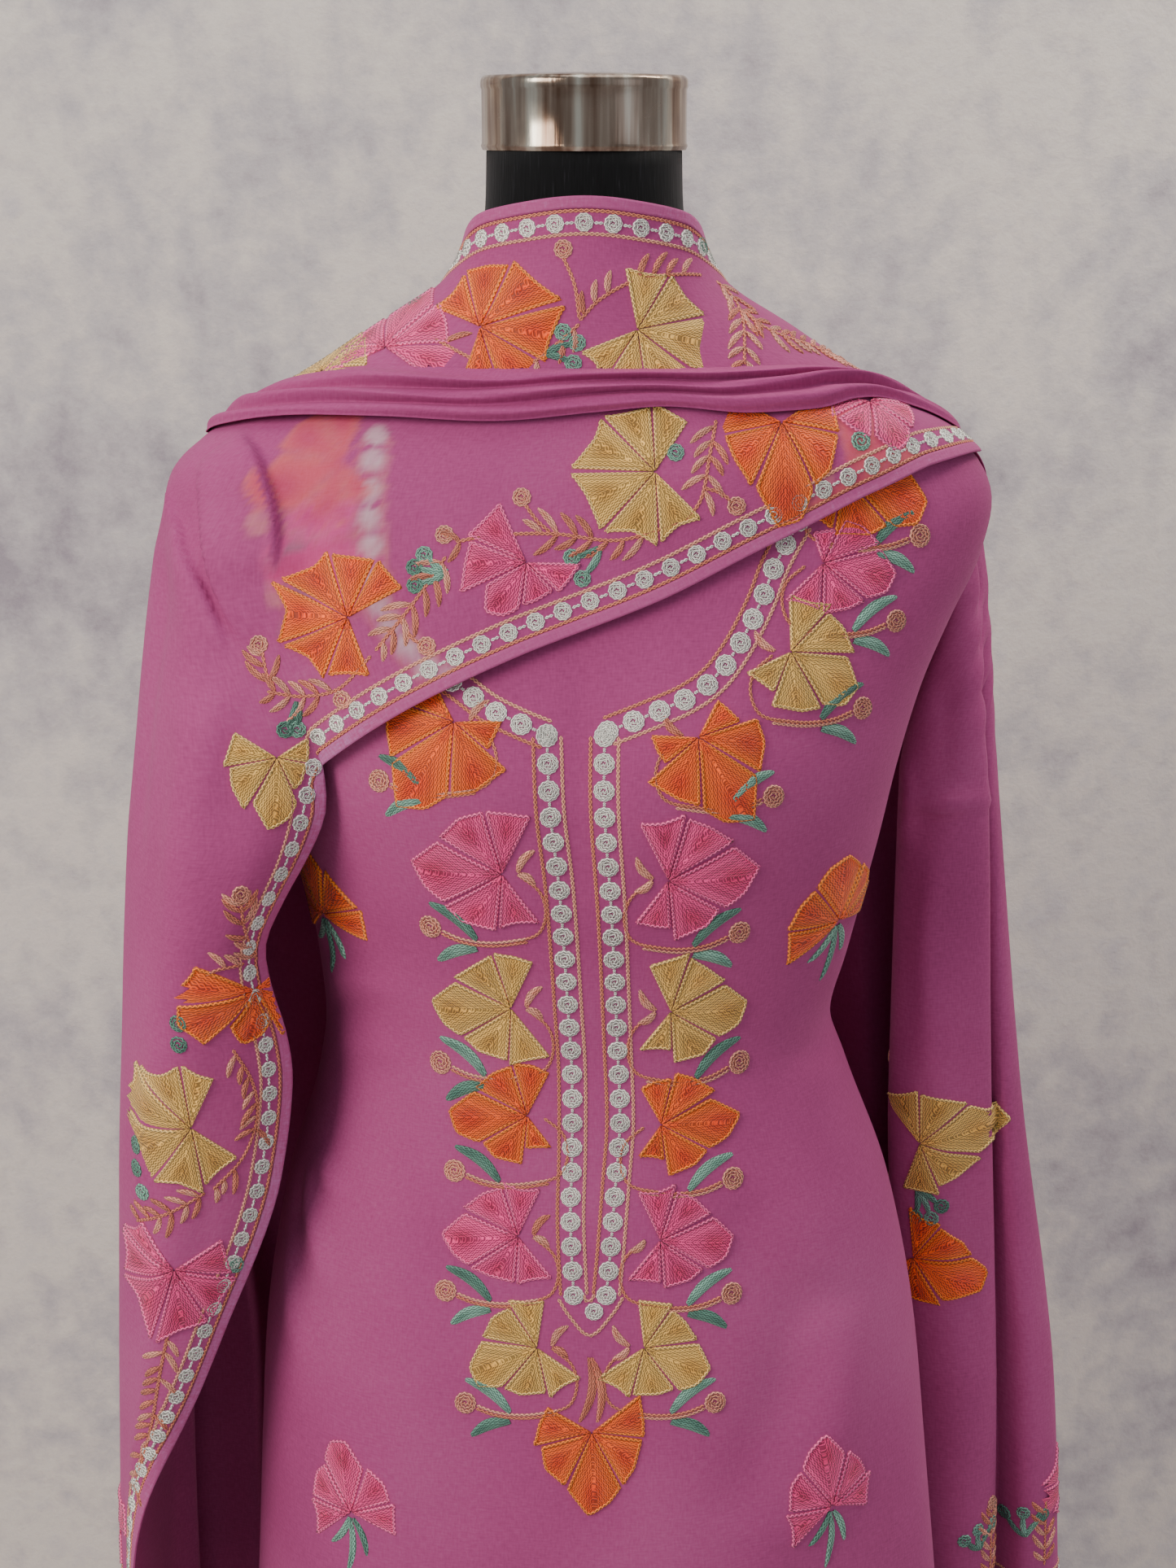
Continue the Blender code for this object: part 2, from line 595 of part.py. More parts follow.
def make_chest_and_left_fall(silk):
    count, columns = 28, 17
    fall = []
    for k in range(LEFT_TOP_ROWS + LEFT_LOW_ROWS + 1):
        heights = left_heights(k)
        loose = ease(0, 1, (1.28 - heights[3]) / 0.5)
        row = fall_row(LEFT_FALL, LEFT_ANGLES, heights, count, 0.42, LEFT_WAVES, LEFT_WAVE_DEPTH * loose)
        fall.append(row)
    chest = []
    for k in range(LEFT_TOP_ROWS + 1):
        share = (k / LEFT_TOP_ROWS) ** 1.5
        edge = fall[k][0]
        meet = edge - chest_point(CHEST_END_DEG, share)
        row = []
        for i in range(columns + 1):
            angle = CHEST_START_DEG + (CHEST_END_DEG - CHEST_START_DEG) * i / columns
            row.append(chest_point(angle, share) + meet * ease(95, CHEST_END_DEG, angle))
        chest.append(inset(row, SEAM_GAP, SEAM_GAP + TURN_GAP * ease(0, 0.3, share)))
    cloth("dupatta_chest", chest, silk)
    cloth("dupatta_left_fall", fall, silk)


def make_right_fall(silk):
    count, rows_down = 30, 14
    rows = []
    for k in range(rows_down + 1):
        share = (k / rows_down) ** 1.6
        heights = []
        for angle in RIGHT_ANGLES:
            top = top_of_fall(angle).z
            heights.append(top + (RIGHT_HEM - top) * share)
        loose = ease(0, 1, (1.27 - heights[4]) / 0.5)
        row = fall_row(RIGHT_FALL, RIGHT_ANGLES, heights, count, 0.62, RIGHT_WAVES, RIGHT_WAVE_DEPTH * loose)
        rows.append(list(reversed(row)))
    cloth("dupatta_right_fall", rows, silk)


def yoke_point(angle_deg, z):
    """The salwar's belt: tight at the waist, then hanging straight from the hips."""
    widest = 0.786
    base = form_point(angle_deg, max(z, widest))
    out = Vector((base.x, base.y, 0)).normalized()
    slack = 0.0008 + 0.0032 * ease(0, 1, (SALWAR_WAIST - z) / 0.015)
    return Vector((base.x, base.y, z)) + out * slack


def make_salwar(silk):
    angles = range(0, 360, STEP_DEG)
    heights = (SALWAR_WAIST, 0.930, 0.873, 0.786, 0.743, YOKE_HEM)
    cloth("salwar_yoke", [[yoke_point(a, z) for a in angles] for z in heights], silk, round_it=True)
    for name, table, side in (("left", LEFT_LEG, -1), ("right", RIGHT_LEG, 1)):
        make_leg(name, table, side, silk)


def leg_top(side, share):
    """The leg's upper edge: half the yoke's hem, then down and up the rise seam between the legs."""
    hem = YOKE_HEM - SEAM_GAP
    plane = CROTCH_X + side * (CLOTH + SEAM_GAP / 2)
    outer_share = 0.62
    front, back = (next(a for a in np.arange(60, 120, 0.5) if yoke_point(a, hem).x <= plane), None)
    back = 360 - front
    if share <= outer_share:
        t = share / outer_share
        if side > 0:
            angle = -front + 2 * front * t
        else:
            angle = front + (back - front) * t
        point = yoke_point(angle, hem)
        point.x = max(point.x, plane) if side > 0 else min(point.x, plane)
        return point
    t = (share - outer_share) / (1 - outer_share)
    ends = yoke_point(front, hem), yoke_point(back, hem)
    first, last = ends if side > 0 else ends[::-1]
    sag = math.sin(math.pi * t) ** 0.8
    y = first.y + (last.y - first.y) * t
    return Vector((plane, y, hem - (hem - CROTCH) * sag))


def leg_ring(table, side, share, z):
    """A point of the leg's section at a height, with share going round as in leg_top."""
    inner, outer, depth = (read(table, column, z) for column in (1, 2, 3))
    outer_share = 0.62
    if share <= outer_share:
        angle = -100 + 200 * share / outer_share
    else:
        angle = 100 + 160 * (share - outer_share) / (1 - outer_share)
    if side < 0:
        angle += 180
    a = math.radians(angle)
    middle, half = (inner + outer) / 2, abs(outer - inner) / 2
    fold = 1 + LEG_FOLD_DEPTH / half * math.sin(LEG_FOLDS * 2 * math.pi * share) * ease(0.12, 0.30, z)
    fold = fold if share <= outer_share else 1
    return Vector((middle + half * math.cos(a) * fold, -depth * math.sin(a) * fold, z))


def leg_row(table, side, k, rows, low):
    columns = 24
    row = []
    for i in range(columns):
        share = i / columns
        top = leg_top(side, share)
        z = top.z + (low - top.z) * k / rows
        ring = leg_ring(table, side, share, min(z, table[0][0]))
        mix = ease(0, 0.45, k / rows)
        row.append(Vector((*top.xy.lerp(ring.xy, mix), z)))
    return row


def make_leg(name, table, side, silk):
    rows = 8
    leg = [leg_row(table, side, k, rows, CUFF_TOP + SEAM_GAP) for k in range(rows + 1)]
    cloth(f"salwar_leg_{name}", leg, silk, round_it=True)
    cuff = [[Vector((p.x, p.y, z)) for p in leg[-1]] for z in (CUFF_TOP, CUFF_HEM)]
    cloth(f"salwar_cuff_{name}", cuff, silk, round_it=True, wall=CLOTH)


def main():
    clean_scene()
    group = bpy.data.collections.get("salwar_kameez_suit") or bpy.data.collections.new("salwar_kameez_suit")
    if group.name not in bpy.context.scene.collection.children:
        bpy.context.scene.collection.children.link(group)
    silk = material("georgette", (0.42, 0.10, 0.27), 0.75)
    black = material("black_jersey", (0.006, 0.006, 0.007), 0.9)
    chrome = material("chrome", (0.80, 0.80, 0.78), 0.12, 1.0)
    make_form(black)
    make_neck_cap(chrome)
    make_stand(chrome)
    make_kameez(silk)
    make_salwar(silk)
    make_neck_and_pleats(silk)
    make_chest_and_left_fall(silk)
    make_right_fall(silk)


main()
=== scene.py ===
# %% [markdown]
# # A salwar kameez suit on a limbless dress form
#
# The suit is three garments. The kameez is a long tunic cut from two panels, the salwar is a
# pair of loose trousers, and the dupatta is a stole of 2.3 m laid from shoulder to shoulder.
# All three are georgette, a crepe-spun cloth, worked with thick chain stitch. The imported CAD
# model gives every piece its place. Here each cloth gets its real thickness and creases, and
# the embroidery is sewn onto it stitch by stitch, as geometry.

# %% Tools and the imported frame
import json
import math

import bmesh
import bpy
import numpy as np
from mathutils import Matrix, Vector
from mathutils.bvhtree import BVHTree

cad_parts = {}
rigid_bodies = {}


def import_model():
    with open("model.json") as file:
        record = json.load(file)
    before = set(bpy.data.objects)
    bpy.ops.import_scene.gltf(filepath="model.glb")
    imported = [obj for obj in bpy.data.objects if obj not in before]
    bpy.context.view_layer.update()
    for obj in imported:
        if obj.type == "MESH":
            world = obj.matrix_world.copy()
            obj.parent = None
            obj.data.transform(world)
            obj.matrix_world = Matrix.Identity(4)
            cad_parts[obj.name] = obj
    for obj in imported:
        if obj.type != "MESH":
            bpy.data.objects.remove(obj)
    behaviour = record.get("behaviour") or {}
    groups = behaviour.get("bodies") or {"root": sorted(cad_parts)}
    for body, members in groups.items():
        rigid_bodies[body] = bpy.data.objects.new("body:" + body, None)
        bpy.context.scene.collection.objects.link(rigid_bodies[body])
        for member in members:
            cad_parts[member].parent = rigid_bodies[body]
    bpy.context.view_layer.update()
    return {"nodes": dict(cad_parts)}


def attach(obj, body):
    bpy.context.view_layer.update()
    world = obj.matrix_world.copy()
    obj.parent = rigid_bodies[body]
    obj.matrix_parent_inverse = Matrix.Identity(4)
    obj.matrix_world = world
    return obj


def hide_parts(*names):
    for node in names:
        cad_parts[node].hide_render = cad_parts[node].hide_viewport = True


for thing in list(bpy.data.objects):
    bpy.data.objects.remove(thing)
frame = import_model()
print("CAD nodes:", ", ".join(sorted(frame["nodes"])))

# %% [markdown]
# ## Camera
#
# A garment is judged from where a customer stands, so the camera comes first. It is a little
# higher than the shoulders and looks 15 degrees down, which is why the neck shows its front
# and the skirt runs away below. The same numbers also turn a place in the picture into a line
# of sight, which is used later to lay flowers and creases on the cloth.

# %% Camera
PHOTO_SIZE = (1445, 1927)
LENS_MM, SENSOR_MM = 56.0, 36.0
CAMERA_PLACE = Vector((0.002, -1.34, 1.475))
CAMERA_DOWN = math.radians(15.2)

camera = bpy.data.objects.new("camera", bpy.data.cameras.new("camera"))
camera.data.lens = LENS_MM
camera.data.sensor_width = SENSOR_MM
camera.location = CAMERA_PLACE
camera.rotation_euler = (math.radians(90) - CAMERA_DOWN, 0, 0)
bpy.context.scene.collection.objects.link(camera)
bpy.context.scene.camera = camera


def sight(across, down):
    """The direction in which the camera sees a place in the picture."""
    reach = PHOTO_SIZE[1] * LENS_MM / SENSOR_MM
    ahead = Vector((0, math.cos(CAMERA_DOWN), -math.sin(CAMERA_DOWN)))
    up = Vector((0, math.sin(CAMERA_DOWN), math.cos(CAMERA_DOWN)))
    u, v = (across - PHOTO_SIZE[0] / 2) / reach, (down - PHOTO_SIZE[1] / 2) / reach
    return (ahead + Vector((u, 0, 0)) - up * v).normalized()


print("camera at", tuple(CAMERA_PLACE))

# %% [markdown]
# ## Helpers for materials
#
# A finish is written as a colour that a dyer would name, in hex, and turned to the linear
# numbers that the shader wants. One small function adds a node, sets it and links it.


# %% Material helpers
def linear(hex_colour):
    """An sRGB hex colour as linear RGBA."""
    parts = [int(hex_colour[i : i + 2], 16) / 255 for i in (1, 3, 5)]
    return (*[c / 12.92 if c <= 0.04045 else ((c + 0.055) / 1.055) ** 2.4 for c in parts], 1.0)


def add(tree, kind, settings=None, **links):
    """Adds a node; settings are its own properties or sockets, links come from other nodes."""
    made = tree.nodes.new(kind)
    for key, value in (settings or {}).items():
        if isinstance(key, int) or key in made.inputs:
            made.inputs[key].default_value = value
        else:
            setattr(made, key, value)
    for key, source in links.items():
        place = int(key[1:]) if key[0] == "i" and key[1:].isdigit() else key.replace("_", " ")
        tree.links.new(source, made.inputs[place])
    return made


def finish_named(name):
    """A new material with a Principled shader, and its tree."""
    look = bpy.data.materials.new(name)
    look.use_nodes = True
    return look, look.node_tree, look.node_tree.nodes["Principled BSDF"]


def ramp(tree, source, stops):
    """A colour ramp over hex colours."""
    made = add(tree, "ShaderNodeValToRGB", Fac=source)
    while len(made.color_ramp.elements) < len(stops):
        made.color_ramp.elements.new(0.5)
    for element, (at, colour) in zip(made.color_ramp.elements, stops):
        element.position = at
        element.color = linear(colour)
    return made.outputs["Color"]


# %% [markdown]
# ## Georgette
#
# Georgette is woven from hard-twisted crepe yarn, so it is matt, slightly grainy and dry to
# the touch. A real yarn is about 0.25 mm apart; here the weave is drawn at 1.1 mm, the finest
# that shows in the picture. The colour is not flat: crepe yarn takes dye unevenly, and cloth
# seen at a slant looks paler because its fine hairs catch the light, which the sheen gives.

# %% Georgette material
YARN_MM = 1.1
MAUVE = "#A9467D"
MAUVE_DEEP = "#983A6E"
MAUVE_PALE = "#B35689"


def georgette(name, deep, middle, pale, under=False):
    look, tree, shader = finish_named(name)
    flat = add(tree, "ShaderNodeUVMap", {"uv_map": "cloth"}).outputs["UV"]
    place = add(tree, "ShaderNodeTexCoord").outputs["Object"]
    across = add(tree, "ShaderNodeMapping", {"Scale": (1000 / YARN_MM, 220, 1)}, Vector=flat)
    along = add(tree, "ShaderNodeMapping", {"Scale": (220, 1000 / YARN_MM, 1)}, Vector=flat)
    warp = add(tree, "ShaderNodeTexNoise", {"Scale": 1.0, "Detail": 1.0}, Vector=across.outputs[0])
    weft = add(tree, "ShaderNodeTexNoise", {"Scale": 1.0, "Detail": 1.0}, Vector=along.outputs[0])
    weave = add(
        tree, "ShaderNodeMath", {"operation": "ADD"}, i0=warp.outputs["Fac"], i1=weft.outputs["Fac"]
    ).outputs[0]
    bath = add(tree, "ShaderNodeTexNoise", {"Scale": 7.0, "Detail": 3.0}, Vector=place)
    grain = add(tree, "ShaderNodeMath", {"operation": "MULTIPLY_ADD", 1: 0.45}, i0=weave)
    tree.links.new(bath.outputs["Fac"], grain.inputs[2])
    tone = add(tree, "ShaderNodeMapRange", {1: 0.62, 2: 1.28}, i0=grain.outputs[0])
    colour = ramp(tree, tone.outputs[0], ((0.0, deep), (0.5, middle), (1.0, pale)))
    if under:
        seen = add(tree, "ShaderNodeAttribute", {"attribute_name": "shows_through"})
        share = add(tree, "ShaderNodeMath", {"operation": "MULTIPLY", 1: 0.34}, i0=seen.outputs["Alpha"])
        mixed = add(tree, "ShaderNodeMix", {"data_type": "RGBA"}, i0=share.outputs[0])
        tree.links.new(colour, mixed.inputs[6])
        tree.links.new(seen.outputs["Color"], mixed.inputs[7])
        colour = mixed.outputs[2]
    tree.links.new(colour, shader.inputs["Base Color"])
    bump = add(tree, "ShaderNodeBump", {"Strength": 0.30, "Distance": 0.0004}, Height=weave)
    tree.links.new(bump.outputs[0], shader.inputs["Normal"])
    shader.inputs["Roughness"].default_value = 0.78
    shader.inputs["Specular IOR Level"].default_value = 0.25
    shader.inputs["Sheen Weight"].default_value = 0.17
    shader.inputs["Sheen Roughness"].default_value = 0.45
    shader.inputs["Sheen Tint"].default_value = linear("#D08AAE")
    return look


GEORGETTE = georgette("georgette_mauve_crepe_woven", MAUVE_DEEP, MAUVE, MAUVE_PALE)
GEORGETTE_SHEER = georgette("georgette_mauve_sheer_over_stitches", MAUVE_DEEP, MAUVE, MAUVE_PALE, under=True)
print("materials:", GEORGETTE.name, GEORGETTE_SHEER.name)

# %% [markdown]
# ## The body under the cloth
#
# A dress form is a padded shell covered in black stretch jersey, with a chromed cap closing
# the neck. Its sections are rounded ellipses, given by half width and depth at each height.
# The kameez follows the same sections a few millimetres further out. The tables repeat the
# part's own, because the cloth has to lie exactly where its rigid stand-in lies.

# %% Body and kameez sections, in metres: height, half width right and left, depth front and back
CLOTH = 0.0015
SEAM_GAP = 0.0003
SQUARE = 2.3
FORM = (
    (1.460, 0.0520, 0.0520, 0.0520, 0.0520),
    (1.430, 0.0530, 0.0530, 0.0530, 0.0540),
    (1.405, 0.0565, 0.0565, 0.0555, 0.0580),
    (1.392, 0.0641, 0.0641, 0.0599, 0.0649),
    (1.380, 0.0720, 0.0720, 0.0602, 0.0656),
    (1.360, 0.1018, 0.1018, 0.0648, 0.0730),
    (1.340, 0.1383, 0.1383, 0.0727, 0.0824),
    (1.325, 0.1703, 0.1703, 0.0781, 0.0873),
    (1.310, 0.1963, 0.1963, 0.0832, 0.0920),
    (1.295, 0.2125, 0.2125, 0.0877, 0.0958),
    (1.275, 0.2200, 0.2200, 0.0930, 0.0995),
    (1.245, 0.2125, 0.2125, 0.1000, 0.1010),
    (1.215, 0.1970, 0.1970, 0.1080, 0.1010),
    (1.175, 0.1800, 0.1800, 0.1160, 0.0980),
    (1.130, 0.1680, 0.1680, 0.1200, 0.0930),
    (1.090, 0.1560, 0.1560, 0.1140, 0.0870),
    (1.020, 0.1350, 0.1350, 0.0980, 0.0810),
    (0.980, 0.1290, 0.1290, 0.0930, 0.0820),
    (0.945, 0.1320, 0.1320, 0.0950, 0.0860),
    (0.873, 0.1520, 0.1520, 0.1040, 0.0980),
    (0.786, 0.1710, 0.1710, 0.1090, 0.1090),
    (0.745, 0.1680, 0.1680, 0.1030, 0.1050),
    (0.727, 0.1560, 0.1560, 0.0940, 0.0960),
    (0.720, 0.1400, 0.1400, 0.0820, 0.0840),
)
KAMEEZ = (
    (1.460, 0.0560, 0.0560, 0.0560, 0.0560),
    (1.430, 0.0570, 0.0570, 0.0560, 0.0580),
    (1.405, 0.0600, 0.0600, 0.0580, 0.0610),
    (1.392, 0.0650, 0.0650, 0.0608, 0.0658),
    (1.380, 0.0755, 0.0755, 0.0628, 0.0683),
    (1.360, 0.1070, 0.1070, 0.0678, 0.0758),
    (1.340, 0.1420, 0.1420, 0.0748, 0.0843),
    (1.325, 0.1740, 0.1740, 0.0803, 0.0893),
    (1.310, 0.1997, 0.1997, 0.0853, 0.0940),
    (1.295, 0.2155, 0.2155, 0.0900, 0.0980),
    (1.275, 0.2225, 0.2225, 0.0955, 0.1020),
    (1.245, 0.2165, 0.2165, 0.1035, 0.1040),
    (1.215, 0.2030, 0.2030, 0.1130, 0.1045),
    (1.175, 0.1868, 0.1868, 0.1230, 0.1020),
    (1.130, 0.1745, 0.1745, 0.1290, 0.0980),
    (1.090, 0.1662, 0.1640, 0.1260, 0.0950),
    (1.020, 0.1500, 0.1510, 0.1130, 0.0950),
    (0.980, 0.1407, 0.1480, 0.1080, 0.0970),
    (0.945, 0.1515, 0.1530, 0.1090, 0.1010),
    (0.873, 0.1780, 0.1740, 0.1170, 0.1130),
    (0.786, 0.1957, 0.1890, 0.1250, 0.1230),
    (0.711, 0.2040, 0.1945, 0.1280, 0.1250),
    (0.605, 0.2140, 0.2010, 0.1310, 0.1290),
    (0.500, 0.2210, 0.2100, 0.1340, 0.1330),
    (0.420, 0.2270, 0.2170, 0.1360, 0.1360),
    (0.330, 0.2340, 0.2240, 0.1380, 0.1390),
)
FORM_BUST = {"out": 0.011, "x": 0.075, "across": 0.045, "z": 1.150, "down": 0.050}
KAMEEZ_BUST = {"out": 0.010, "x": 0.062, "across": 0.066, "z": 1.150, "down": 0.060}
FOLDS_TOP = 0.860
KAMEEZ_NECK, KAMEEZ_HEM, SLIT_TOP = 1.392, 0.330, 0.800
SIDE_SEAM_DEG, SLIT_EDGE_DEG = -10, 5
# Upright folds of the skirt: angle and width in degrees, depth at the hem
SKIRT_FOLDS = (
    (22, 10, 0.012),
    (50, 11, -0.010),
    (75, 12, 0.009),
    (104, 12, -0.008),
    (132, 11, 0.011),
    (158, 10, -0.009),
    (205, 11, 0.011),
    (232, 11, -0.011),
    (258, 10, 0.012),
    (284, 10, -0.011),
    (308, 10, 0.012),
    (334, 10, -0.009),
)


def curve_through(places, values, at):
    """Monotone cubic through (places, values), so that no table swings past its rows."""
    order = np.argsort(places)
    x, y = np.asarray(places, float)[order], np.asarray(values, float)[order]
    at = min(max(at, x[0]), x[-1])
    step = np.diff(x)
    slope = np.diff(y) / step
    tangent = np.zeros(len(x))
    tangent[0], tangent[-1] = slope[0], slope[-1]
    for i in range(1, len(x) - 1):
        if slope[i - 1] * slope[i] > 0:
            a, b = 2 * step[i] + step[i - 1], step[i] + 2 * step[i - 1]
            tangent[i] = (a + b) / (a / slope[i - 1] + b / slope[i])
    i = int(min(max(np.searchsorted(x, at) - 1, 0), len(x) - 2))
    t = (at - x[i]) / step[i]
    rise = y[i] * (1 + 2 * t) * (1 - t) ** 2 + y[i + 1] * t * t * (3 - 2 * t)
    return rise + step[i] * (tangent[i] * t * (1 - t) ** 2 - tangent[i + 1] * t * t * (1 - t))


KNOWN = {}


def read(table, column, at):
    """A table's column at a height; values already asked for are kept, as rows share heights."""
    key = (id(table), column, round(at, 6))
    if key not in KNOWN:
        KNOWN[key] = curve_through([row[0] for row in table], [row[column] for row in table], at)
    return KNOWN[key]


def ease(low, high, value):
    """0 below low, 1 above high, smooth between them."""
    t = min(max((value - low) / (high - low), 0.0), 1.0)
    return t * t * (3 - 2 * t)


def section_point(table, shape, angle_deg, z):
    """A point of a body section; 0 degrees is +X, 90 the front and 270 the back."""
    angle = math.radians(angle_deg)
    c, s = math.cos(angle), math.sin(angle)
    reach = (abs(c) ** SQUARE + abs(s) ** SQUARE) ** (-1 / SQUARE)
    x = read(table, 1 if c >= 0 else 2, z) * reach * c
    y = -read(table, 3 if s >= 0 else 4, z) * reach * s
    if s > 0:
        mound = math.exp(-(((abs(x) - shape["x"]) / shape["across"]) ** 2))
        mound *= math.exp(-(((z - shape["z"]) / shape["down"]) ** 2))
        y -= shape["out"] * mound * min(1.0, 2 * s)
    return Vector((x, y, z))


def kameez_point(angle_deg, z):
    """The kameez's inside, with the folds of its skirt under the hips."""
    point = section_point(KAMEEZ, KAMEEZ_BUST, angle_deg, z)
    loose = ease(0, 1, (FOLDS_TOP - z) / (FOLDS_TOP - KAMEEZ_HEM))
    turn = angle_deg % 360
    fold = sum(deep * math.exp(-(((turn - at) / wide) ** 2)) for at, wide, deep in SKIRT_FOLDS)
    return point + Vector((point.x, point.y, 0)).normalized() * loose * fold


print("sections:", len(FORM), "of the form,", len(KAMEEZ), "of the kameez")

# %% [markdown]
# ## Cloth as a grid
#
# A woven panel is a rectangle that bends but hardly stretches. In Blender the honest stand-in
# is a grid whose columns are the warp and whose rows are the weft: it is made flat with one
# operator, and then every knot of the grid is moved to its place on the body. A few rows from
# the body's own formula are enough; a smooth curve through them gives the rows between. A
# wall of half a millimetre under the face closes the sheet, so that a hem has an edge.


# %% Grids
WALL = 0.0005


def finer(points, times):
    """More rows between the given ones, on Catmull-Rom curves."""
    points = np.asarray(points, float)
    count = len(points)
    at = np.linspace(0, count - 1, (count - 1) * times + 1)
    i = np.minimum(at.astype(int), count - 2)
    t = (at - i).reshape(-1, *[1] * (points.ndim - 1))
    before = np.concatenate([2 * points[:1] - points[1:2], points])
    after = np.concatenate([points, 2 * points[-1:] - points[-2:-1]])
    a, b, c, d = before[i], points[i], points[i + 1], after[i + 2]
    return 0.5 * (
        2 * b + (c - a) * t + (2 * a - 5 * b + 4 * c - d) * t**2 + (3 * b - a - 3 * c + d) * t**3
    )


def finer_grid(points, down, across):
    return finer(finer(points, down).swapaxes(0, 1), across).swapaxes(0, 1)


def unit(vectors):
    return vectors / np.maximum(np.linalg.norm(vectors, axis=-1, keepdims=True), 1e-12)


def face_directions(points, closed=False):
    """The outward direction at every knot of a grid."""
    if closed:
        wrapped = np.concatenate([points[:, -1:], points, points[:, :1]], axis=1)
        across = wrapped[:, 2:] - wrapped[:, :-2]
    else:
        across = np.gradient(points, axis=1)
    return unit(np.cross(across, np.gradient(points, axis=0)))


def raised(points, by, closed=False):
    """A grid moved outward by a length, or by one length a knot."""
    return points + face_directions(points, closed) * np.asarray(by)[..., None]


def flat_lengths(points):
    """Each knot's place on the flat cloth, in metres across and down."""
    across = np.linalg.norm(np.diff(points, axis=1), axis=2).mean(0)
    down = np.linalg.norm(np.diff(points, axis=0), axis=2).mean(1)
    return np.concatenate([[0], np.cumsum(across)]), np.concatenate([[0], np.cumsum(down)])


def area_of(points):
    a, b = points[1:, 1:] - points[:-1, :-1], points[1:, :-1] - points[:-1, 1:]
    return float(np.linalg.norm(np.cross(a, b), axis=2).sum() / 2)


def grid_piece(name, points, look, wall=WALL, closed=False, no_cloth=None):
    """Rows of knots, top to bottom and from +X by the front, as one smooth mesh."""
    rows, columns = points.shape[:2]
    if closed:
        points = np.concatenate([points, points[:, :1]], axis=1)
        columns += 1
    mesh = bmesh.new()
    bmesh.ops.create_grid(mesh, x_segments=columns - 1, y_segments=rows - 1, size=1.0)
    if no_cloth is not None:
        middles = [(face, face.calc_center_median()) for face in mesh.faces]
        places = [(face, int((1 - m.y) / 2 * (rows - 1)), int((1 - m.x) / 2 * (columns - 1))) for face, m in middles]
        bmesh.ops.delete(mesh, geom=[face for face, r, c in places if no_cloth[r, c]], context="FACES")
    data = bpy.data.meshes.new(name)
    mesh.to_mesh(data)
    mesh.free()
    flat = np.empty(len(data.vertices) * 3)
    data.vertices.foreach_get("co", flat)
    flat = flat.reshape(-1, 3)
    column = np.rint((1 - flat[:, 0]) / 2 * (columns - 1)).astype(int)
    row = np.rint((1 - flat[:, 1]) / 2 * (rows - 1)).astype(int)
    data.vertices.foreach_set("co", points[row, column].ravel())
    across, down = flat_lengths(points)
    corner = np.empty(len(data.loops), int)
    data.loops.foreach_get("vertex_index", corner)
    layer = data.uv_layers.new(name="cloth")
    layer.data.foreach_set("uv", np.stack([across[column[corner]], -down[row[corner]]], 1).ravel())
    if closed:
        mesh = bmesh.new()
        mesh.from_mesh(data)
        bmesh.ops.remove_doubles(mesh, verts=mesh.verts, dist=1e-6)
        mesh.to_mesh(data)
        mesh.free()
    data.update()
    data.shade_smooth()
    data.materials.append(look)
    piece = bpy.data.objects.new(name, data)
    bpy.context.scene.collection.objects.link(piece)
    if wall:
        thicken = piece.modifiers.new("wall", "SOLIDIFY")
        thicken.thickness = wall
        thicken.offset = -1.0
    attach(piece, "root")
    return piece


def tree_of(points, no_cloth=None):
    """A grid as a tree in which a line of sight or the nearest place can be looked up."""
    rows, columns = points.shape[:2]
    number = np.arange(rows * columns).reshape(rows, columns)
    quads = np.stack([number[:-1, :-1], number[:-1, 1:], number[1:, 1:], number[1:, :-1]], -1)
    quads = quads.reshape(-1, 4) if no_cloth is None else quads[~no_cloth]
    return BVHTree.FromPolygons([Vector(p) for p in points.reshape(-1, 3)], quads.tolist())


print("grid helpers ready; a cloth wall is", WALL * 1000, "mm")

# %% [markdown]
# ## Creases
#
# Light cloth over a hard body shows where it is pulled: a sharp crease runs from the shoulder
# where the weight hangs, and soft ones fan out from the waist. Each crease is a path with a
# width and a height. The knots near the path are pushed along the cloth's own outward
# direction, most on the path itself and less with distance. Paths that the picture shows are
# given as places in the picture and looked up on the cloth by their lines of sight.


# %% Creases
OVERHANG = 0.9  # how far a fold leans over, as a share of its height


def seen_on(tree, places):
    """Places in the picture as points on a cloth; None where the line of sight misses it."""
    found = [tree.ray_cast(CAMERA_PLACE, sight(*place))[0] for place in places]
    return [point for point in found if point is not None]


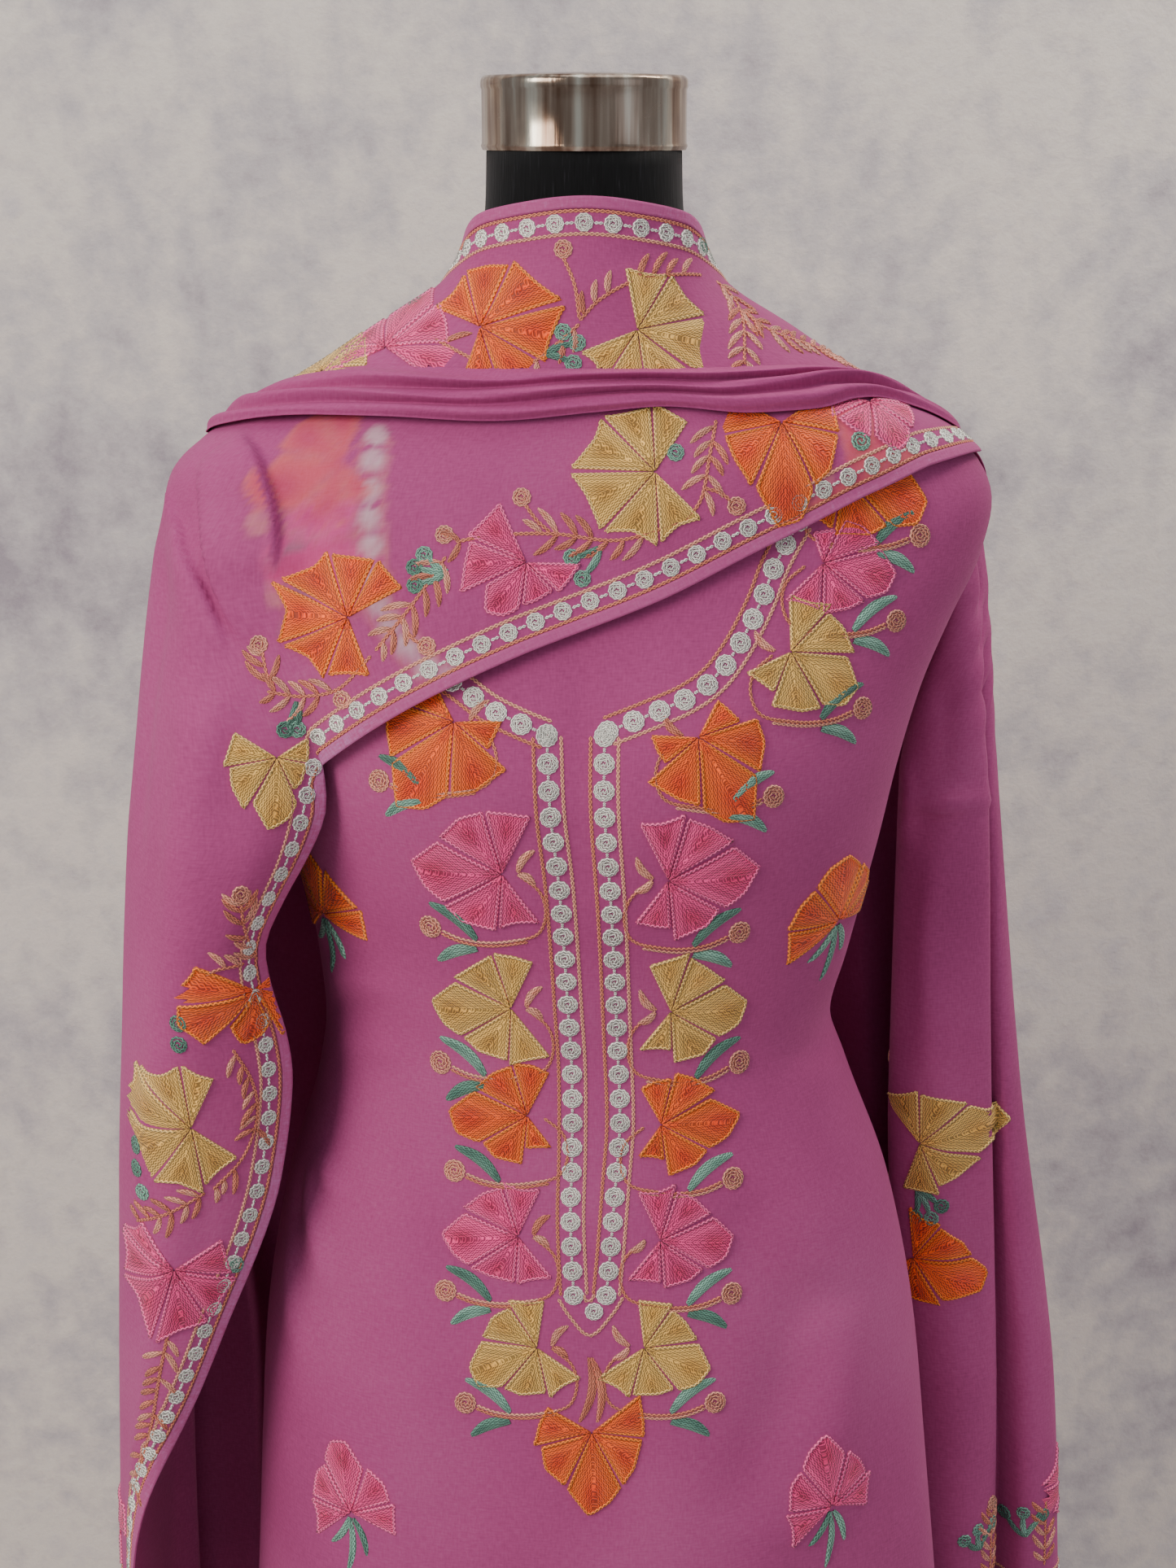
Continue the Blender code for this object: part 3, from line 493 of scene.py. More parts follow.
def creased(points, paths):
    """Pushes a grid out (plus) or in along paths of (points, width, height, sharp side).

    The sharp side is 1 or -1 where the cloth folds over, to the right or left of the path's way
    seen from outside, and 0 where it only swells.
    """
    outward = face_directions(points)
    push, lean = np.zeros(points.shape[:2]), np.zeros(points.shape)
    for path, width, height, sharp in paths:
        path = np.array([list(p) for p in path])
        if len(path) < 2:
            continue
        path = finer(path, 4) if len(path) > 2 else path
        nearest = np.full(points.shape[:2], 9.0)
        share, side, aside = np.zeros(points.shape[:2]), np.zeros(points.shape[:2]), np.zeros(points.shape)
        for k, (a, b) in enumerate(zip(path, path[1:])):
            t = np.clip(((points - a) @ (b - a)) / max((b - a) @ (b - a), 1e-12), 0, 1)
            off = points - (a + t[..., None] * (b - a))
            away = np.linalg.norm(off, axis=2)
            closer = away < nearest
            nearest[closer] = away[closer]
            share[closer] = (k + t[closer]) / (len(path) - 1)
            across = unit(np.cross(b - a, outward))
            side[closer], aside[closer] = np.sign((across * off).sum(-1))[closer], across[closer]
        fade = np.sin(np.pi * np.clip(share, 0.0, 1.0)) ** 0.6
        reach = np.where(side * sharp > 0, width * 0.22, width)
        push += height * fade * np.exp(-((nearest / reach) ** 2))
        if sharp:
            # the swell leans over its sharp side, so that the cloth there lies in its shade
            over = OVERHANG * abs(height) * fade * np.exp(-((nearest / np.minimum(reach, width * 0.5)) ** 2))
            lean += sharp * aside * over[..., None]
    return points + outward * push[..., None] + lean


def rippled(points, height, across, down, seed):
    """Soft unevenness of hanging cloth: a few long waves of fixed but unrelated lengths."""
    draw = np.random.default_rng(seed)
    u, v = flat_lengths(points)
    u, v = np.meshgrid(u, v)
    push = np.zeros(u.shape)
    for _ in range(5):
        a, b = draw.uniform(0.6, 1.5) / across, draw.uniform(-0.6, 0.6) / down
        push += np.sin(2 * np.pi * (u * a + v * b) + draw.uniform(0, 6.28)) / 5
    return points + face_directions(points) * (height * push)[..., None]


# %% [markdown]
# ## The kameez
#
# The tunic hangs straight from the bust, is caught a little at the waist and spreads over the
# hips, where the side seams open into slits. The front is sampled every 1.7 degrees round the
# body and every 5 mm of height, so that the creases at the waist have room.

# %% Kameez surfaces
KAMEEZ_CREASES_SEEN = (
    # (places in the picture), width and height in metres
    (((402, 1196), (440, 1206), (500, 1222)), 0.007, 0.0022),
    (((404, 1232), (430, 1240), (470, 1246)), 0.006, -0.0018),
    (((410, 1276), (450, 1286), (500, 1300)), 0.008, 0.0020),
    (((392, 1408), (402, 1440), (425, 1475)), 0.006, 0.0030),
    (((386, 1425), (380, 1470), (392, 1540), (402, 1590)), 0.007, 0.0035),
    (((372, 1440), (364, 1500), (372, 1600)), 0.008, -0.0030),
    (((366, 1500), (356, 1580), (372, 1680)), 0.010, 0.0030),
    (((470, 1480), (500, 1640), (520, 1860)), 0.030, 0.0030),
    (((1000, 1560), (960, 1720), (900, 1880)), 0.022, -0.0040),
    (((1040, 1600), (1030, 1740), (1000, 1900)), 0.020, 0.0040),
    (((900, 1480), (930, 1560), (1000, 1640)), 0.016, -0.0030),
    (((1072, 1180), (1040, 1210), (980, 1224)), 0.007, 0.0020),
    (((1064, 1260), (1020, 1290), (960, 1300)), 0.008, -0.0016),
)
# The back, which the picture doesn't show, creases in the same way: (angle, height) paths
KAMEEZ_CREASES_BEHIND = (
    (((215, 1.03), (235, 1.005), (255, 0.99)), 0.008, 0.0022),
    (((325, 1.03), (305, 1.005), (288, 0.995)), 0.008, 0.0022),
    (((222, 0.95), (230, 0.86), (236, 0.76)), 0.010, 0.0030),
    (((318, 0.95), (310, 0.85), (306, 0.74)), 0.010, 0.0030),
    (((262, 0.90), (266, 0.75), (262, 0.60)), 0.016, -0.0030),
    (((246, 1.30), (252, 1.20), (250, 1.10)), 0.012, 0.0020),
    (((294, 1.30), (288, 1.20), (291, 1.12)), 0.012, 0.0020),
)


def kameez_grid(start, end, columns, rows):
    """The outer face of one panel between two side seams."""
    heights = np.linspace(KAMEEZ_NECK, KAMEEZ_HEM, rows + 1)
    grid = []
    for z in heights:
        opened = SLIT_EDGE_DEG * ease(0, 1, (SLIT_TOP - z) / (SLIT_TOP - KAMEEZ_HEM)) if z < SLIT_TOP else 0
        a, b = start + opened, end - opened
        a, b = a + 0.12, b - 0.12
        grid.append([kameez_point(a + (b - a) * i / columns, z) for i in range(columns + 1)])
    return raised(np.array(grid), CLOTH)


left_seam = 180 - SIDE_SEAM_DEG
kameez_front = finer_grid(kameez_grid(SIDE_SEAM_DEG, left_seam, 60, 106), 2, 2)
kameez_tree = tree_of(kameez_front)
kameez_front = creased(
    kameez_front, [(seen_on(kameez_tree, path), w, h, 0) for path, w, h in KAMEEZ_CREASES_SEEN]
)
kameez_front = rippled(kameez_front, 0.0006, 0.09, 0.30, 3)
kameez_back = finer_grid(kameez_grid(left_seam, 360 + SIDE_SEAM_DEG, 50, 80), 2, 2)
kameez_back = creased(
    kameez_back,
    [([kameez_point(a, z) for a, z in path], w, h, 0) for path, w, h in KAMEEZ_CREASES_BEHIND],
)
kameez_back = rippled(kameez_back, 0.0008, 0.09, 0.30, 4)
print("kameez areas", round(area_of(kameez_front), 3), round(area_of(kameez_back), 3), "m2")

# %% Kameez pieces
front_piece = grid_piece("kameez_front_cloth", kameez_front, GEORGETTE)
back_piece = grid_piece("kameez_back_cloth", kameez_back, GEORGETTE)
for piece, node, size in (
    (front_piece, "kameez_front", (0.60, 1.09)),
    (back_piece, "kameez_back", (0.58, 1.09)),
):
    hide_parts(node)
    print(piece.name, "stands for", node)

# %% [markdown]
# ## The dupatta
#
# The stole is one cloth. Its middle lies round the neck, where its worked border shows; under
# that it is gathered into three pleats from shoulder to shoulder; below them it spreads over
# the chest as far as its other border. Both ends hang behind the shoulders. The five
# stretches below meet edge to edge, as they do in the part's source.

# %% Dupatta tables: the lines over the shoulders, by the angle from the front
LINES = (
    (0, 1.441, 1.347, 1.325),
    (45, 1.430, 1.342, 1.321),
    (72, 1.415, 1.333, 1.313),
    (94, 1.403, 1.324, 1.306),
    (115, 1.384, 1.316, 1.301),
    (140, 1.343, 1.308, 1.295),
)
STAND_OFF = (
    (0, 0.0120, 0.0130, 0.0090),
    (45, 0.0090, 0.0110, 0.0080),
    (72, 0.0040, 0.0085, 0.0040),
    (94, 0.0020, 0.0070, 0.0018),
    (115, 0.0020, 0.0040, 0.0018),
    (140, 0.0025, 0.0025, 0.0018),
)
PLEATS, PLEATS_OVER, PLEAT_DEPTH, PLEATS_END_DEG = 3, 0.003, 0.0075, 125
TUCK_UNDER = 0.009
# The pleats' depth is uneven, most on the right where they close up: angle and share of it
PLEATS_SHARE = (
    (-50, 1.0), (4, 1.0), (17, 0.66), (28, 0.52), (38, 0.62), (50, 0.84), (62, 0.88), (76, 0.72),
    (88, 0.84), (106, 1.04), (122, 0.98), (145, 1.02), (230, 1.0),
)
# The lower border across the chest: angle and height
BORDER = (
    (-9, 1.2965),
    (5, 1.2990),
    (20, 1.3005),
    (35, 1.2985),
    (50, 1.2875),
    (65, 1.2645),
    (80, 1.2360),
    (100, 1.2090),
    (118, 1.1825),
    (137, 1.1495),
)
CHEST_START_DEG, CHEST_END_DEG, TURN_GAP = -9, 137, 0.0022
LEFT_HEM, RIGHT_HEM = 0.400, 0.545
LEFT_ANGLES = (CHEST_END_DEG, 148, 160, 180, 212, 228)
# The left end from above at each height: border's edge, ridge, front, outer side, back, inner edge
LEFT_FALL = (
    (1.250, (-0.168, -0.083), (-0.190, -0.076), (-0.214, -0.054), (-0.2345, 0.000), (-0.198, 0.088), (-0.088, 0.117)),
    (1.157, (-0.1385, -0.104), (-0.176, -0.115), (-0.214, -0.101), (-0.2460, -0.018), (-0.211, 0.090), (-0.090, 0.124)),
    (1.135, (-0.1345, -0.105), (-0.176, -0.120), (-0.216, -0.107), (-0.2480, -0.022), (-0.213, 0.090), (-0.091, 0.126)),
    (1.100, (-0.1465, -0.102), (-0.179, -0.126), (-0.219, -0.113), (-0.2515, -0.030), (-0.216, 0.092), (-0.094, 0.128)),
    (1.045, (-0.1715, -0.100), (-0.192, -0.121), (-0.224, -0.113), (-0.256, -0.034), (-0.220, 0.094), (-0.098, 0.131)),
    (0.978, (-0.1600, -0.092), (-0.192, -0.110), (-0.229, -0.109), (-0.260, -0.038), (-0.225, 0.096), (-0.102, 0.134)),
    (0.917, (-0.1670, -0.088), (-0.199, -0.105), (-0.234, -0.105), (-0.264, -0.040), (-0.229, 0.098), (-0.105, 0.137)),
    (0.800, (-0.2100, -0.090), (-0.230, -0.101), (-0.251, -0.093), (-0.269, -0.035), (-0.235, 0.102), (-0.110, 0.142)),
    (0.670, (-0.2600, -0.085), (-0.266, -0.072), (-0.272, -0.053), (-0.276, -0.018), (-0.240, 0.108), (-0.116, 0.147)),
    (0.400, (-0.2820, -0.042), (-0.284, -0.026), (-0.286, -0.008), (-0.284, 0.024), (-0.248, 0.118), (-0.126, 0.153)),
)
LEFT_WAVES, LEFT_WAVE_DEPTH = 3, 0.016
RIGHT_ANGLES = (-9.3, -10.5, -12, -14, -16.5, -19, -23, -35, -48)
# The right end: turned edge, lit panel in three, tuck, second panel, outer fold, back, inner edge
RIGHT_FALL = (
    (1.250, (0.2172, 0.031), (0.2178, 0.037), (0.2190, 0.043), (0.2215, 0.049), (0.2235, 0.055), (0.226, 0.062), (0.226, 0.075), (0.192, 0.099), (0.088, 0.118)),
    (1.100, (0.193, 0.070), (0.188, 0.046), (0.211, 0.032), (0.235, 0.041), (0.2300, 0.058), (0.240, 0.056), (0.2445, 0.078), (0.218, 0.113), (0.092, 0.131)),
    (0.900, (0.197, 0.074), (0.188, 0.045), (0.217, 0.030), (0.246, 0.042), (0.2445, 0.066), (0.258, 0.053), (0.2680, 0.078), (0.237, 0.122), (0.096, 0.141)),
    (0.690, (0.214, 0.076), (0.204, 0.046), (0.231, 0.031), (0.257, 0.044), (0.2620, 0.070), (0.281, 0.051), (0.3000, 0.077), (0.259, 0.126), (0.103, 0.149)),
    (0.545, (0.225, 0.078), (0.215, 0.046), (0.239, 0.031), (0.262, 0.045), (0.2675, 0.072), (0.287, 0.050), (0.310, 0.076), (0.268, 0.129), (0.107, 0.155)),
)
RIGHT_WAVES, RIGHT_WAVE_DEPTH = 2, 0.015


# %% Dupatta lines and clearances
def over_kameez(angle_deg, z, stand_off):
    """A point that far outside the kameez's outer face, along the body's normal."""
    def at(a, h):
        return section_point(KAMEEZ, KAMEEZ_BUST, a, h)

    across, down = at(angle_deg + 2, z) - at(angle_deg - 2, z), at(angle_deg, z - 0.003) - at(angle_deg, z + 0.003)
    here, normal = at(angle_deg, z), across.cross(down).normalized()
    if normal.dot(Vector((here.x, here.y, 0.02))) < 0:
        normal.negate()
    return here + normal * (CLOTH + stand_off)


def reach_of_kameez(x, y, z):
    """How far the kameez's inside lies from the axis, in the direction of (x, y)."""
    width = read(KAMEEZ, 1 if x >= 0 else 2, z)
    depth = read(KAMEEZ, 3 if y <= 0 else 4, z)
    return math.hypot(x, y) / ((abs(x) / width) ** SQUARE + (abs(y) / depth) ** SQUARE) ** (1 / SQUARE)


def clear_of_kameez(point, gap):
    """Moves a point away from the axis until it lies that far outside the kameez's wall."""
    x, y, z = point
    slope = (reach_of_kameez(x, y, z - 0.004) - reach_of_kameez(x, y, z + 0.004)) / 0.008
    least = reach_of_kameez(x, y, z) + (CLOTH + gap) * math.hypot(1, slope)
    flat = math.hypot(x, y)
    return point if flat >= least else Vector((x * least / flat, y * least / flat, z))


def through(points, count):
    """Evenly spaced points along a smooth curve through the given ones."""
    fine = finer(np.array([list(p) for p in points]), 12)
    run = np.concatenate([[0], np.cumsum(np.linalg.norm(np.diff(fine, axis=0), axis=1))])
    at = np.linspace(0, run[-1], count + 1)
    return [Vector(p) for p in np.stack([np.interp(at, run, fine[:, k]) for k in range(3)], 1)]


def from_front(angle_deg):
    """Degrees from the middle of the front, rounded off there so that no edge has a peak."""
    away = abs(angle_deg - 90)
    return away if away > 20 else away * away / 40 + 10


def neck_stand_off(angle_deg, share):
    rows = [read(STAND_OFF, column, from_front(angle_deg)) for column in (1, 2, 3)]
    return curve_through((0, 0.5, 1), rows, share)


def under_pleats(angle_deg):
    return min(0.75 * neck_stand_off(angle_deg, 1), 0.0045)


def top_of_fall(angle_deg):
    """Where a fall comes out from under the pleats."""
    return over_kameez(angle_deg, read(LINES, 3, from_front(angle_deg)) + TUCK_UNDER, under_pleats(angle_deg))


def guide(table, column, angle_deg, z):
    """One guide of a fall at a height: lying on the shoulder first, then hanging."""
    top = top_of_fall(angle_deg)
    heights = [top.z, *(row[0] for row in table)]
    xs, ys = ([top[k], *(row[column][k] for row in table)] for k in (0, 1))
    hanging = Vector((curve_through(heights, xs, z), curve_through(heights, ys, z), z))
    lying = over_kameez(angle_deg, z, under_pleats(angle_deg))
    return Vector((*lying.xy.lerp(hanging.xy, ease(0.012, 0.045, top.z - z)), z))


def fall_gap(point):
    angle = math.degrees(math.atan2(-point.y, point.x)) % 360
    low = read(LINES, 3, round(from_front(angle - 360 if angle > 270 else angle), 1))
    return 0.0013 + 0.0030 * ease(0, 1, (low - 0.002 - point.z) / 0.018)


def fall_row(table, angles, heights, count, wave_from, waves, depth):
    """A row across a fall, with the waves of loose cloth added from a share of its width on."""
    row = through([guide(table, i + 1, a, z) for i, (a, z) in enumerate(zip(angles, heights))], count)
    waved = []
    for i, point in enumerate(row):
        share = i / count
        along = row[min(i + 1, count)] - row[max(i - 1, 0)]
        outward = Vector((along.y, -along.x, 0)).normalized()
        if share > wave_from:
            phase = (share - wave_from) / (1 - wave_from)
            point = point + outward * depth * math.sin(2 * math.pi * waves * phase) * ease(0, 0.2, phase)
        waved.append(clear_of_kameez(point, fall_gap(point)))
    return waved


print("dupatta lines ready")


# %% Neck stretch and pleats
def neck_grid(columns, rows):
    reach = LINES[-1][0]
    grid = []
    for k in range(rows + 1):
        row = []
        for i in range(columns + 1):
            angle = 90 - reach + 2 * reach * i / columns
            edge, fold = (read(LINES, column, from_front(angle)) for column in (1, 2))
            share = k / rows
            row.append(over_kameez(angle, edge + (fold - edge) * share, neck_stand_off(angle, share)))
        grid.append(row)
    return np.array(grid)


def pleats_low(angle_deg):
    """The height of the pleats' lower edge."""
    fold, low = (read(LINES, column, from_front(angle_deg)) for column in (2, 3))
    return fold + (low - fold) * read(PLEATS_SHARE, 1, angle_deg)


PLEAT_RISE = 0.72  # the share of a pleat in which it rises; in the rest it drops under the next


def pleat_height(share, angle):
    """Three pleats that lie over each other like tiles and drift a little along the shoulders."""
    turn = math.radians(angle)
    drift = 0.11 * math.sin(turn * 1.7 + 0.4) + 0.05 * math.sin(turn * 4.3 + 1.0) + 0.02 * math.sin(turn * 9.0)
    phase = (PLEATS * (share + drift * math.sin(math.pi * share))) % 1.0
    if phase < PLEAT_RISE:
        tile = math.sin(math.pi / 2 * phase / PLEAT_RISE)
    else:
        tile = 0.5 + 0.5 * math.cos(math.pi * (phase - PLEAT_RISE) / (1 - PLEAT_RISE))
    swell = 0.62 + 0.42 * math.sin(turn * 2.6 + share * 7.0) ** 2
    return tile * swell * math.sin(math.pi * min(max(share, 0.001) * 1.02, 1.0)) ** 0.35


def pleat_grid(columns, rows):
    reach = LINES[-1][0]
    grid = []
    for k in range(rows + 1):
        share = k / rows
        row = []
        for i in range(columns + 1):
            angle = 90 - reach + 2 * reach * i / columns
            edge, fold = (read(LINES, column, from_front(angle)) for column in (1, 2))
            z = fold + PLEATS_OVER + (pleats_low(angle) - fold - PLEATS_OVER) * share
            lap = min(1 - (PLEATS_OVER * (1 - share * 4)) / (edge - fold), 1) if share < 0.25 else 1
            base = neck_stand_off(angle, lap) + CLOTH + 3 * SEAM_GAP
            alive = 1 - ease(60, PLEATS_END_DEG, from_front(angle)) * 0.94
            row.append(over_kameez(angle, z, base + PLEAT_DEPTH * alive * pleat_height(share, angle)))
        grid.append(row)
    return np.array(grid)


neck = raised(finer_grid(neck_grid(56, 12), 3, 3), CLOTH)
pleats = finer_grid(pleat_grid(84, 36), 2, 2)
print("neck", neck.shape, round(area_of(neck), 3), "pleats", pleats.shape, round(area_of(pleats), 3))


# %% Chest stretch and left end
LEFT_TOP_ROWS, LEFT_LOW_ROWS = 16, 30


def chest_point(angle_deg, share):
    top = pleats_low(angle_deg) + 0.005
    z = top + (read(BORDER, 1, angle_deg) - top) * share
    swell = 0.004 * math.sin(math.pi * min(share * 1.1, 1.0))
    return over_kameez(angle_deg, z, under_pleats(angle_deg) + swell * ease(10, 60, angle_deg))


def left_heights(k):
    """Heights of the left end's guides in row k; the upper rows end at the border's turn."""
    turn = BORDER[-1][1]
    heights = []
    for angle in LEFT_ANGLES:
        top = top_of_fall(angle).z
        if k <= LEFT_TOP_ROWS:
            heights.append(top + (turn - top) * (k / LEFT_TOP_ROWS) ** 1.5)
        else:
            heights.append(turn + (LEFT_HEM - turn) * (k - LEFT_TOP_ROWS) / LEFT_LOW_ROWS)
    return heights


left_rows = []
for k in range(LEFT_TOP_ROWS + LEFT_LOW_ROWS + 1):
    heights = left_heights(k)
    loose = ease(0, 1, (1.28 - heights[3]) / 0.5)
    left_rows.append(fall_row(LEFT_FALL, LEFT_ANGLES, heights, 56, 0.42, LEFT_WAVES, LEFT_WAVE_DEPTH * loose))
chest_rows = []
for k in range(LEFT_TOP_ROWS + 1):
    share = (k / LEFT_TOP_ROWS) ** 1.5
    meet = left_rows[k][0] - chest_point(CHEST_END_DEG, share)
    row = []
    for i in range(52):
        angle = CHEST_START_DEG + (CHEST_END_DEG - CHEST_START_DEG) * i / 51
        row.append(chest_point(angle, share) + meet * ease(95, CHEST_END_DEG, angle))
    chest_rows.append(row)

# %% Chest and left end as one cloth
# The border runs over the chest and turns down at its corner, so both stretches are one grid,
# in which the cells under the chest's border and beside the left end hold no cloth.
upper = LEFT_TOP_ROWS * 3
chest = finer_grid(np.array(chest_rows), 3, 3)[:, :-1]
left_end = finer_grid(np.array(left_rows), 3, 2)
corner_column = chest.shape[1]
below_chest = chest[-1] + (left_end[upper + 1 :, :1] - left_end[upper, 0])
spread = np.concatenate([np.concatenate([chest, below_chest]), left_end], axis=1)
NO_CLOTH = np.zeros((spread.shape[0] - 1, spread.shape[1] - 1), bool)
NO_CLOTH[upper:, :corner_column] = True
# where the two formulas meet over the shoulder, the columns are averaged into one slope
share_of_row = np.clip((upper - 2 - np.arange(upper)) / 8, 0, 1)[:, None, None]
for _ in range(60):
    band = spread[:upper, corner_column - 14 : corner_column + 15]
    band[:, 1:-1] += 0.5 * share_of_row * ((band[:, :-2] + band[:, 2:]) / 2 - band[:, 1:-1])
spread = raised(spread, CLOTH)
SPREAD_AREA = area_of(spread[: upper + 1]) + area_of(spread[upper:, corner_column:])
print("chest and left end", spread.shape, "area", round(SPREAD_AREA, 3), "m2")

# %% Right end
right_rows = []
for k in range(29):
    share = (k / 28) ** 1.6
    heights = []
    for angle in RIGHT_ANGLES:
        top = top_of_fall(angle).z
        heights.append(top + (RIGHT_HEM - top) * share)
    loose = ease(0, 1, (1.27 - heights[4]) / 0.5)
    row = fall_row(RIGHT_FALL, RIGHT_ANGLES, heights, 60, 0.62, RIGHT_WAVES, RIGHT_WAVE_DEPTH * loose)
    right_rows.append(list(reversed(row)))
right_fall = raised(finer_grid(np.array(right_rows), 5, 2), CLOTH)
print("right end", right_fall.shape, round(area_of(right_fall), 3), "m2")

# %% Creases of the dupatta
# (places in the picture), width, height, sharp side
CHEST_CREASES = (
    (((262, 516), (287, 535), (309, 578), (328, 640), (334, 706)), 0.022, 0.0085, -1),
    (((352, 540), (372, 640), (380, 740), (372, 830)), 0.0100, -0.0030, 0),
    (((440, 540), (470, 600), (500, 650)), 0.016, 0.0016, 0),
)
LEFT_CREASES = (
    (((206, 600), (222, 668), (245, 735), (276, 800)), 0.016, 0.0065, -1),
    (((256, 560), (262, 640), (278, 720), (306, 792)), 0.016, 0.0065, 1),
    (((214, 540), (206, 640), (196, 760), (178, 900), (170, 1080)), 0.012, -0.0040, 0),
    (((240, 860), (228, 1000), (216, 1200)), 0.014, 0.0040, 0),
    (((286, 840), (262, 900), (252, 1000)), 0.010, 0.0030, 0),
    (((196, 1260), (182, 1400), (172, 1520)), 0.012, 0.0040, 0),
)
RIGHT_CREASES = (
    (((1112, 985), (1160, 992), (1222, 984)), 0.0090, 0.0050, 1),
    (((1112, 930), (1118, 985), (1110, 1040)), 0.006, 0.0040, 0),
    (((1150, 1050), (1138, 1150), (1140, 1330)), 0.008, 0.0035, 0),
    (((1160, 720), (1164, 860), (1160, 980)), 0.008, -0.0030, 0),
    (((1180, 1100), (1190, 1400), (1200, 1700)), 0.016, -0.0035, 0),
)
for_spread, for_right = tree_of(spread, NO_CLOTH), tree_of(right_fall)
paths = [(seen_on(for_spread, path), *how) for path, *how in CHEST_CREASES + LEFT_CREASES]
spread = rippled(creased(spread, paths), 0.0008, 0.10, 0.30, 5)
paths = [(seen_on(for_right, path), *how) for path, *how in RIGHT_CREASES]
right_fall = rippled(creased(right_fall, paths), 0.0008, 0.10, 0.30, 6)
print("dupatta creases:", len(CHEST_CREASES) + len(LEFT_CREASES) + len(RIGHT_CREASES))

# %% Dupatta pieces
DUPATTA = {}
for name, grid, nodes, size, held, empty in (
    ("dupatta_neck_cloth", neck, ["dupatta_neck"], (0.62, 0.08), "draped", None),
    ("dupatta_pleats_cloth", pleats, ["dupatta_pleats"], (0.60, 0.045), "gathered", None),
    ("dupatta_left_cloth", spread, ["dupatta_chest", "dupatta_left_fall"], (0.47, 0.90), "draped", NO_CLOTH),
    ("dupatta_right_cloth", right_fall, ["dupatta_right_fall"], (0.38, 0.76), "draped", None),
):
    piece = grid_piece(name, grid, GEORGETTE if empty is None else GEORGETTE_SHEER, no_cloth=empty)
    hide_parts(*nodes)
    DUPATTA[name] = piece
    print(name, "stands for", " and ".join(nodes))

# %% [markdown]
# ## The salwar
#
# The trousers hang under the kameez from a belt at the waist. They show only below the
# kameez's hem and in its slits, so they are plain: a belt, two legs gathered into it, and a
# turned cuff at each ankle.

# %% Salwar tables and surfaces
SALWAR_WAIST, YOKE_HEM, CROTCH, CROTCH_X = 0.945, 0.700, 0.600, 0.0205
CUFF_TOP, CUFF_HEM = 0.105, 0.065
# height, inner side, outer side, half depth
LEFT_LEG = (
    (0.580, 0.0170, -0.180, 0.100),
    (0.400, 0.0170, -0.172, 0.090),
    (0.220, 0.0170, -0.156, 0.070),
    (0.065, 0.0170, -0.138, 0.052),
)
RIGHT_LEG = (
    (0.580, 0.0245, 0.196, 0.100),
    (0.400, 0.0260, 0.196, 0.090),
    (0.220, 0.0290, 0.186, 0.070),
    (0.065, 0.0340, 0.176, 0.052),
)
LEG_FOLDS, LEG_FOLD_DEPTH, OUTER_SHARE = 7, 0.006, 0.62


def yoke_point(angle_deg, z):
    base = section_point(FORM, FORM_BUST, angle_deg, max(z, 0.786))
    slack = 0.0008 + 0.0032 * ease(0, 1, (SALWAR_WAIST - z) / 0.015)
    return Vector((base.x, base.y, z)) + Vector((base.x, base.y, 0)).normalized() * slack


def leg_top(side, share, front):
    """The leg's upper edge: half the belt's hem, then down and up the rise seam."""
    hem = YOKE_HEM - SEAM_GAP
    plane = CROTCH_X + side * (CLOTH + SEAM_GAP / 2)
    back = 360 - front
    if share <= OUTER_SHARE:
        t = share / OUTER_SHARE
        point = yoke_point(-front + 2 * front * t if side > 0 else front + (back - front) * t, hem)
        point.x = max(point.x, plane) if side > 0 else min(point.x, plane)
        return point
    t = (share - OUTER_SHARE) / (1 - OUTER_SHARE)
    ends = yoke_point(front, hem), yoke_point(back, hem)
    first, last = ends if side > 0 else ends[::-1]
    sag = math.sin(math.pi * t) ** 0.8
    return Vector((plane, first.y + (last.y - first.y) * t, hem - (hem - CROTCH) * sag))


def leg_ring(table, side, share, z):
    inner, outer, depth = (read(table, column, z) for column in (1, 2, 3))
    if share <= OUTER_SHARE:
        angle = -100 + 200 * share / OUTER_SHARE
    else:
        angle = 100 + 160 * (share - OUTER_SHARE) / (1 - OUTER_SHARE)
    a = math.radians(angle + (180 if side < 0 else 0))
    middle, half = (inner + outer) / 2, abs(outer - inner) / 2
    fold = 1 + LEG_FOLD_DEPTH / half * math.sin(LEG_FOLDS * 2 * math.pi * share) * ease(0.12, 0.30, z)
    fold = fold if share <= OUTER_SHARE else 1
    return Vector((middle + half * math.cos(a) * fold, -depth * math.sin(a) * fold, z))


def leg_grid(table, side, rows, columns, low):
    hem, plane = YOKE_HEM - SEAM_GAP, CROTCH_X + side * (CLOTH + SEAM_GAP / 2)
    front = next(a for a in np.arange(60, 120, 0.5) if yoke_point(a, hem).x <= plane)
    grid = []
    for k in range(rows + 1):
        row = []
        for i in range(columns):
            top = leg_top(side, i / columns, front)
            z = top.z + (low - top.z) * k / rows
            ring = leg_ring(table, side, i / columns, min(z, table[0][0]))
            row.append(Vector((*top.xy.lerp(ring.xy, ease(0, 0.45, k / rows)), z)))
        grid.append(row)
    return np.array(grid)


belt_heights = (SALWAR_WAIST, 0.936, 0.930, 0.900, 0.873, 0.830, 0.786, 0.743, YOKE_HEM)
belt = np.array([[yoke_point(a, z) for a in range(0, 360, 4)] for z in belt_heights])
belt = raised(finer(belt, 3), CLOTH, closed=True)
legs = {
    "left": leg_grid(LEFT_LEG, -1, 36, 96, CUFF_TOP + SEAM_GAP),
    "right": leg_grid(RIGHT_LEG, 1, 36, 96, CUFF_TOP + SEAM_GAP),
}
print("belt", round(area_of(belt), 3), "legs", [round(area_of(g), 3) for g in legs.values()])

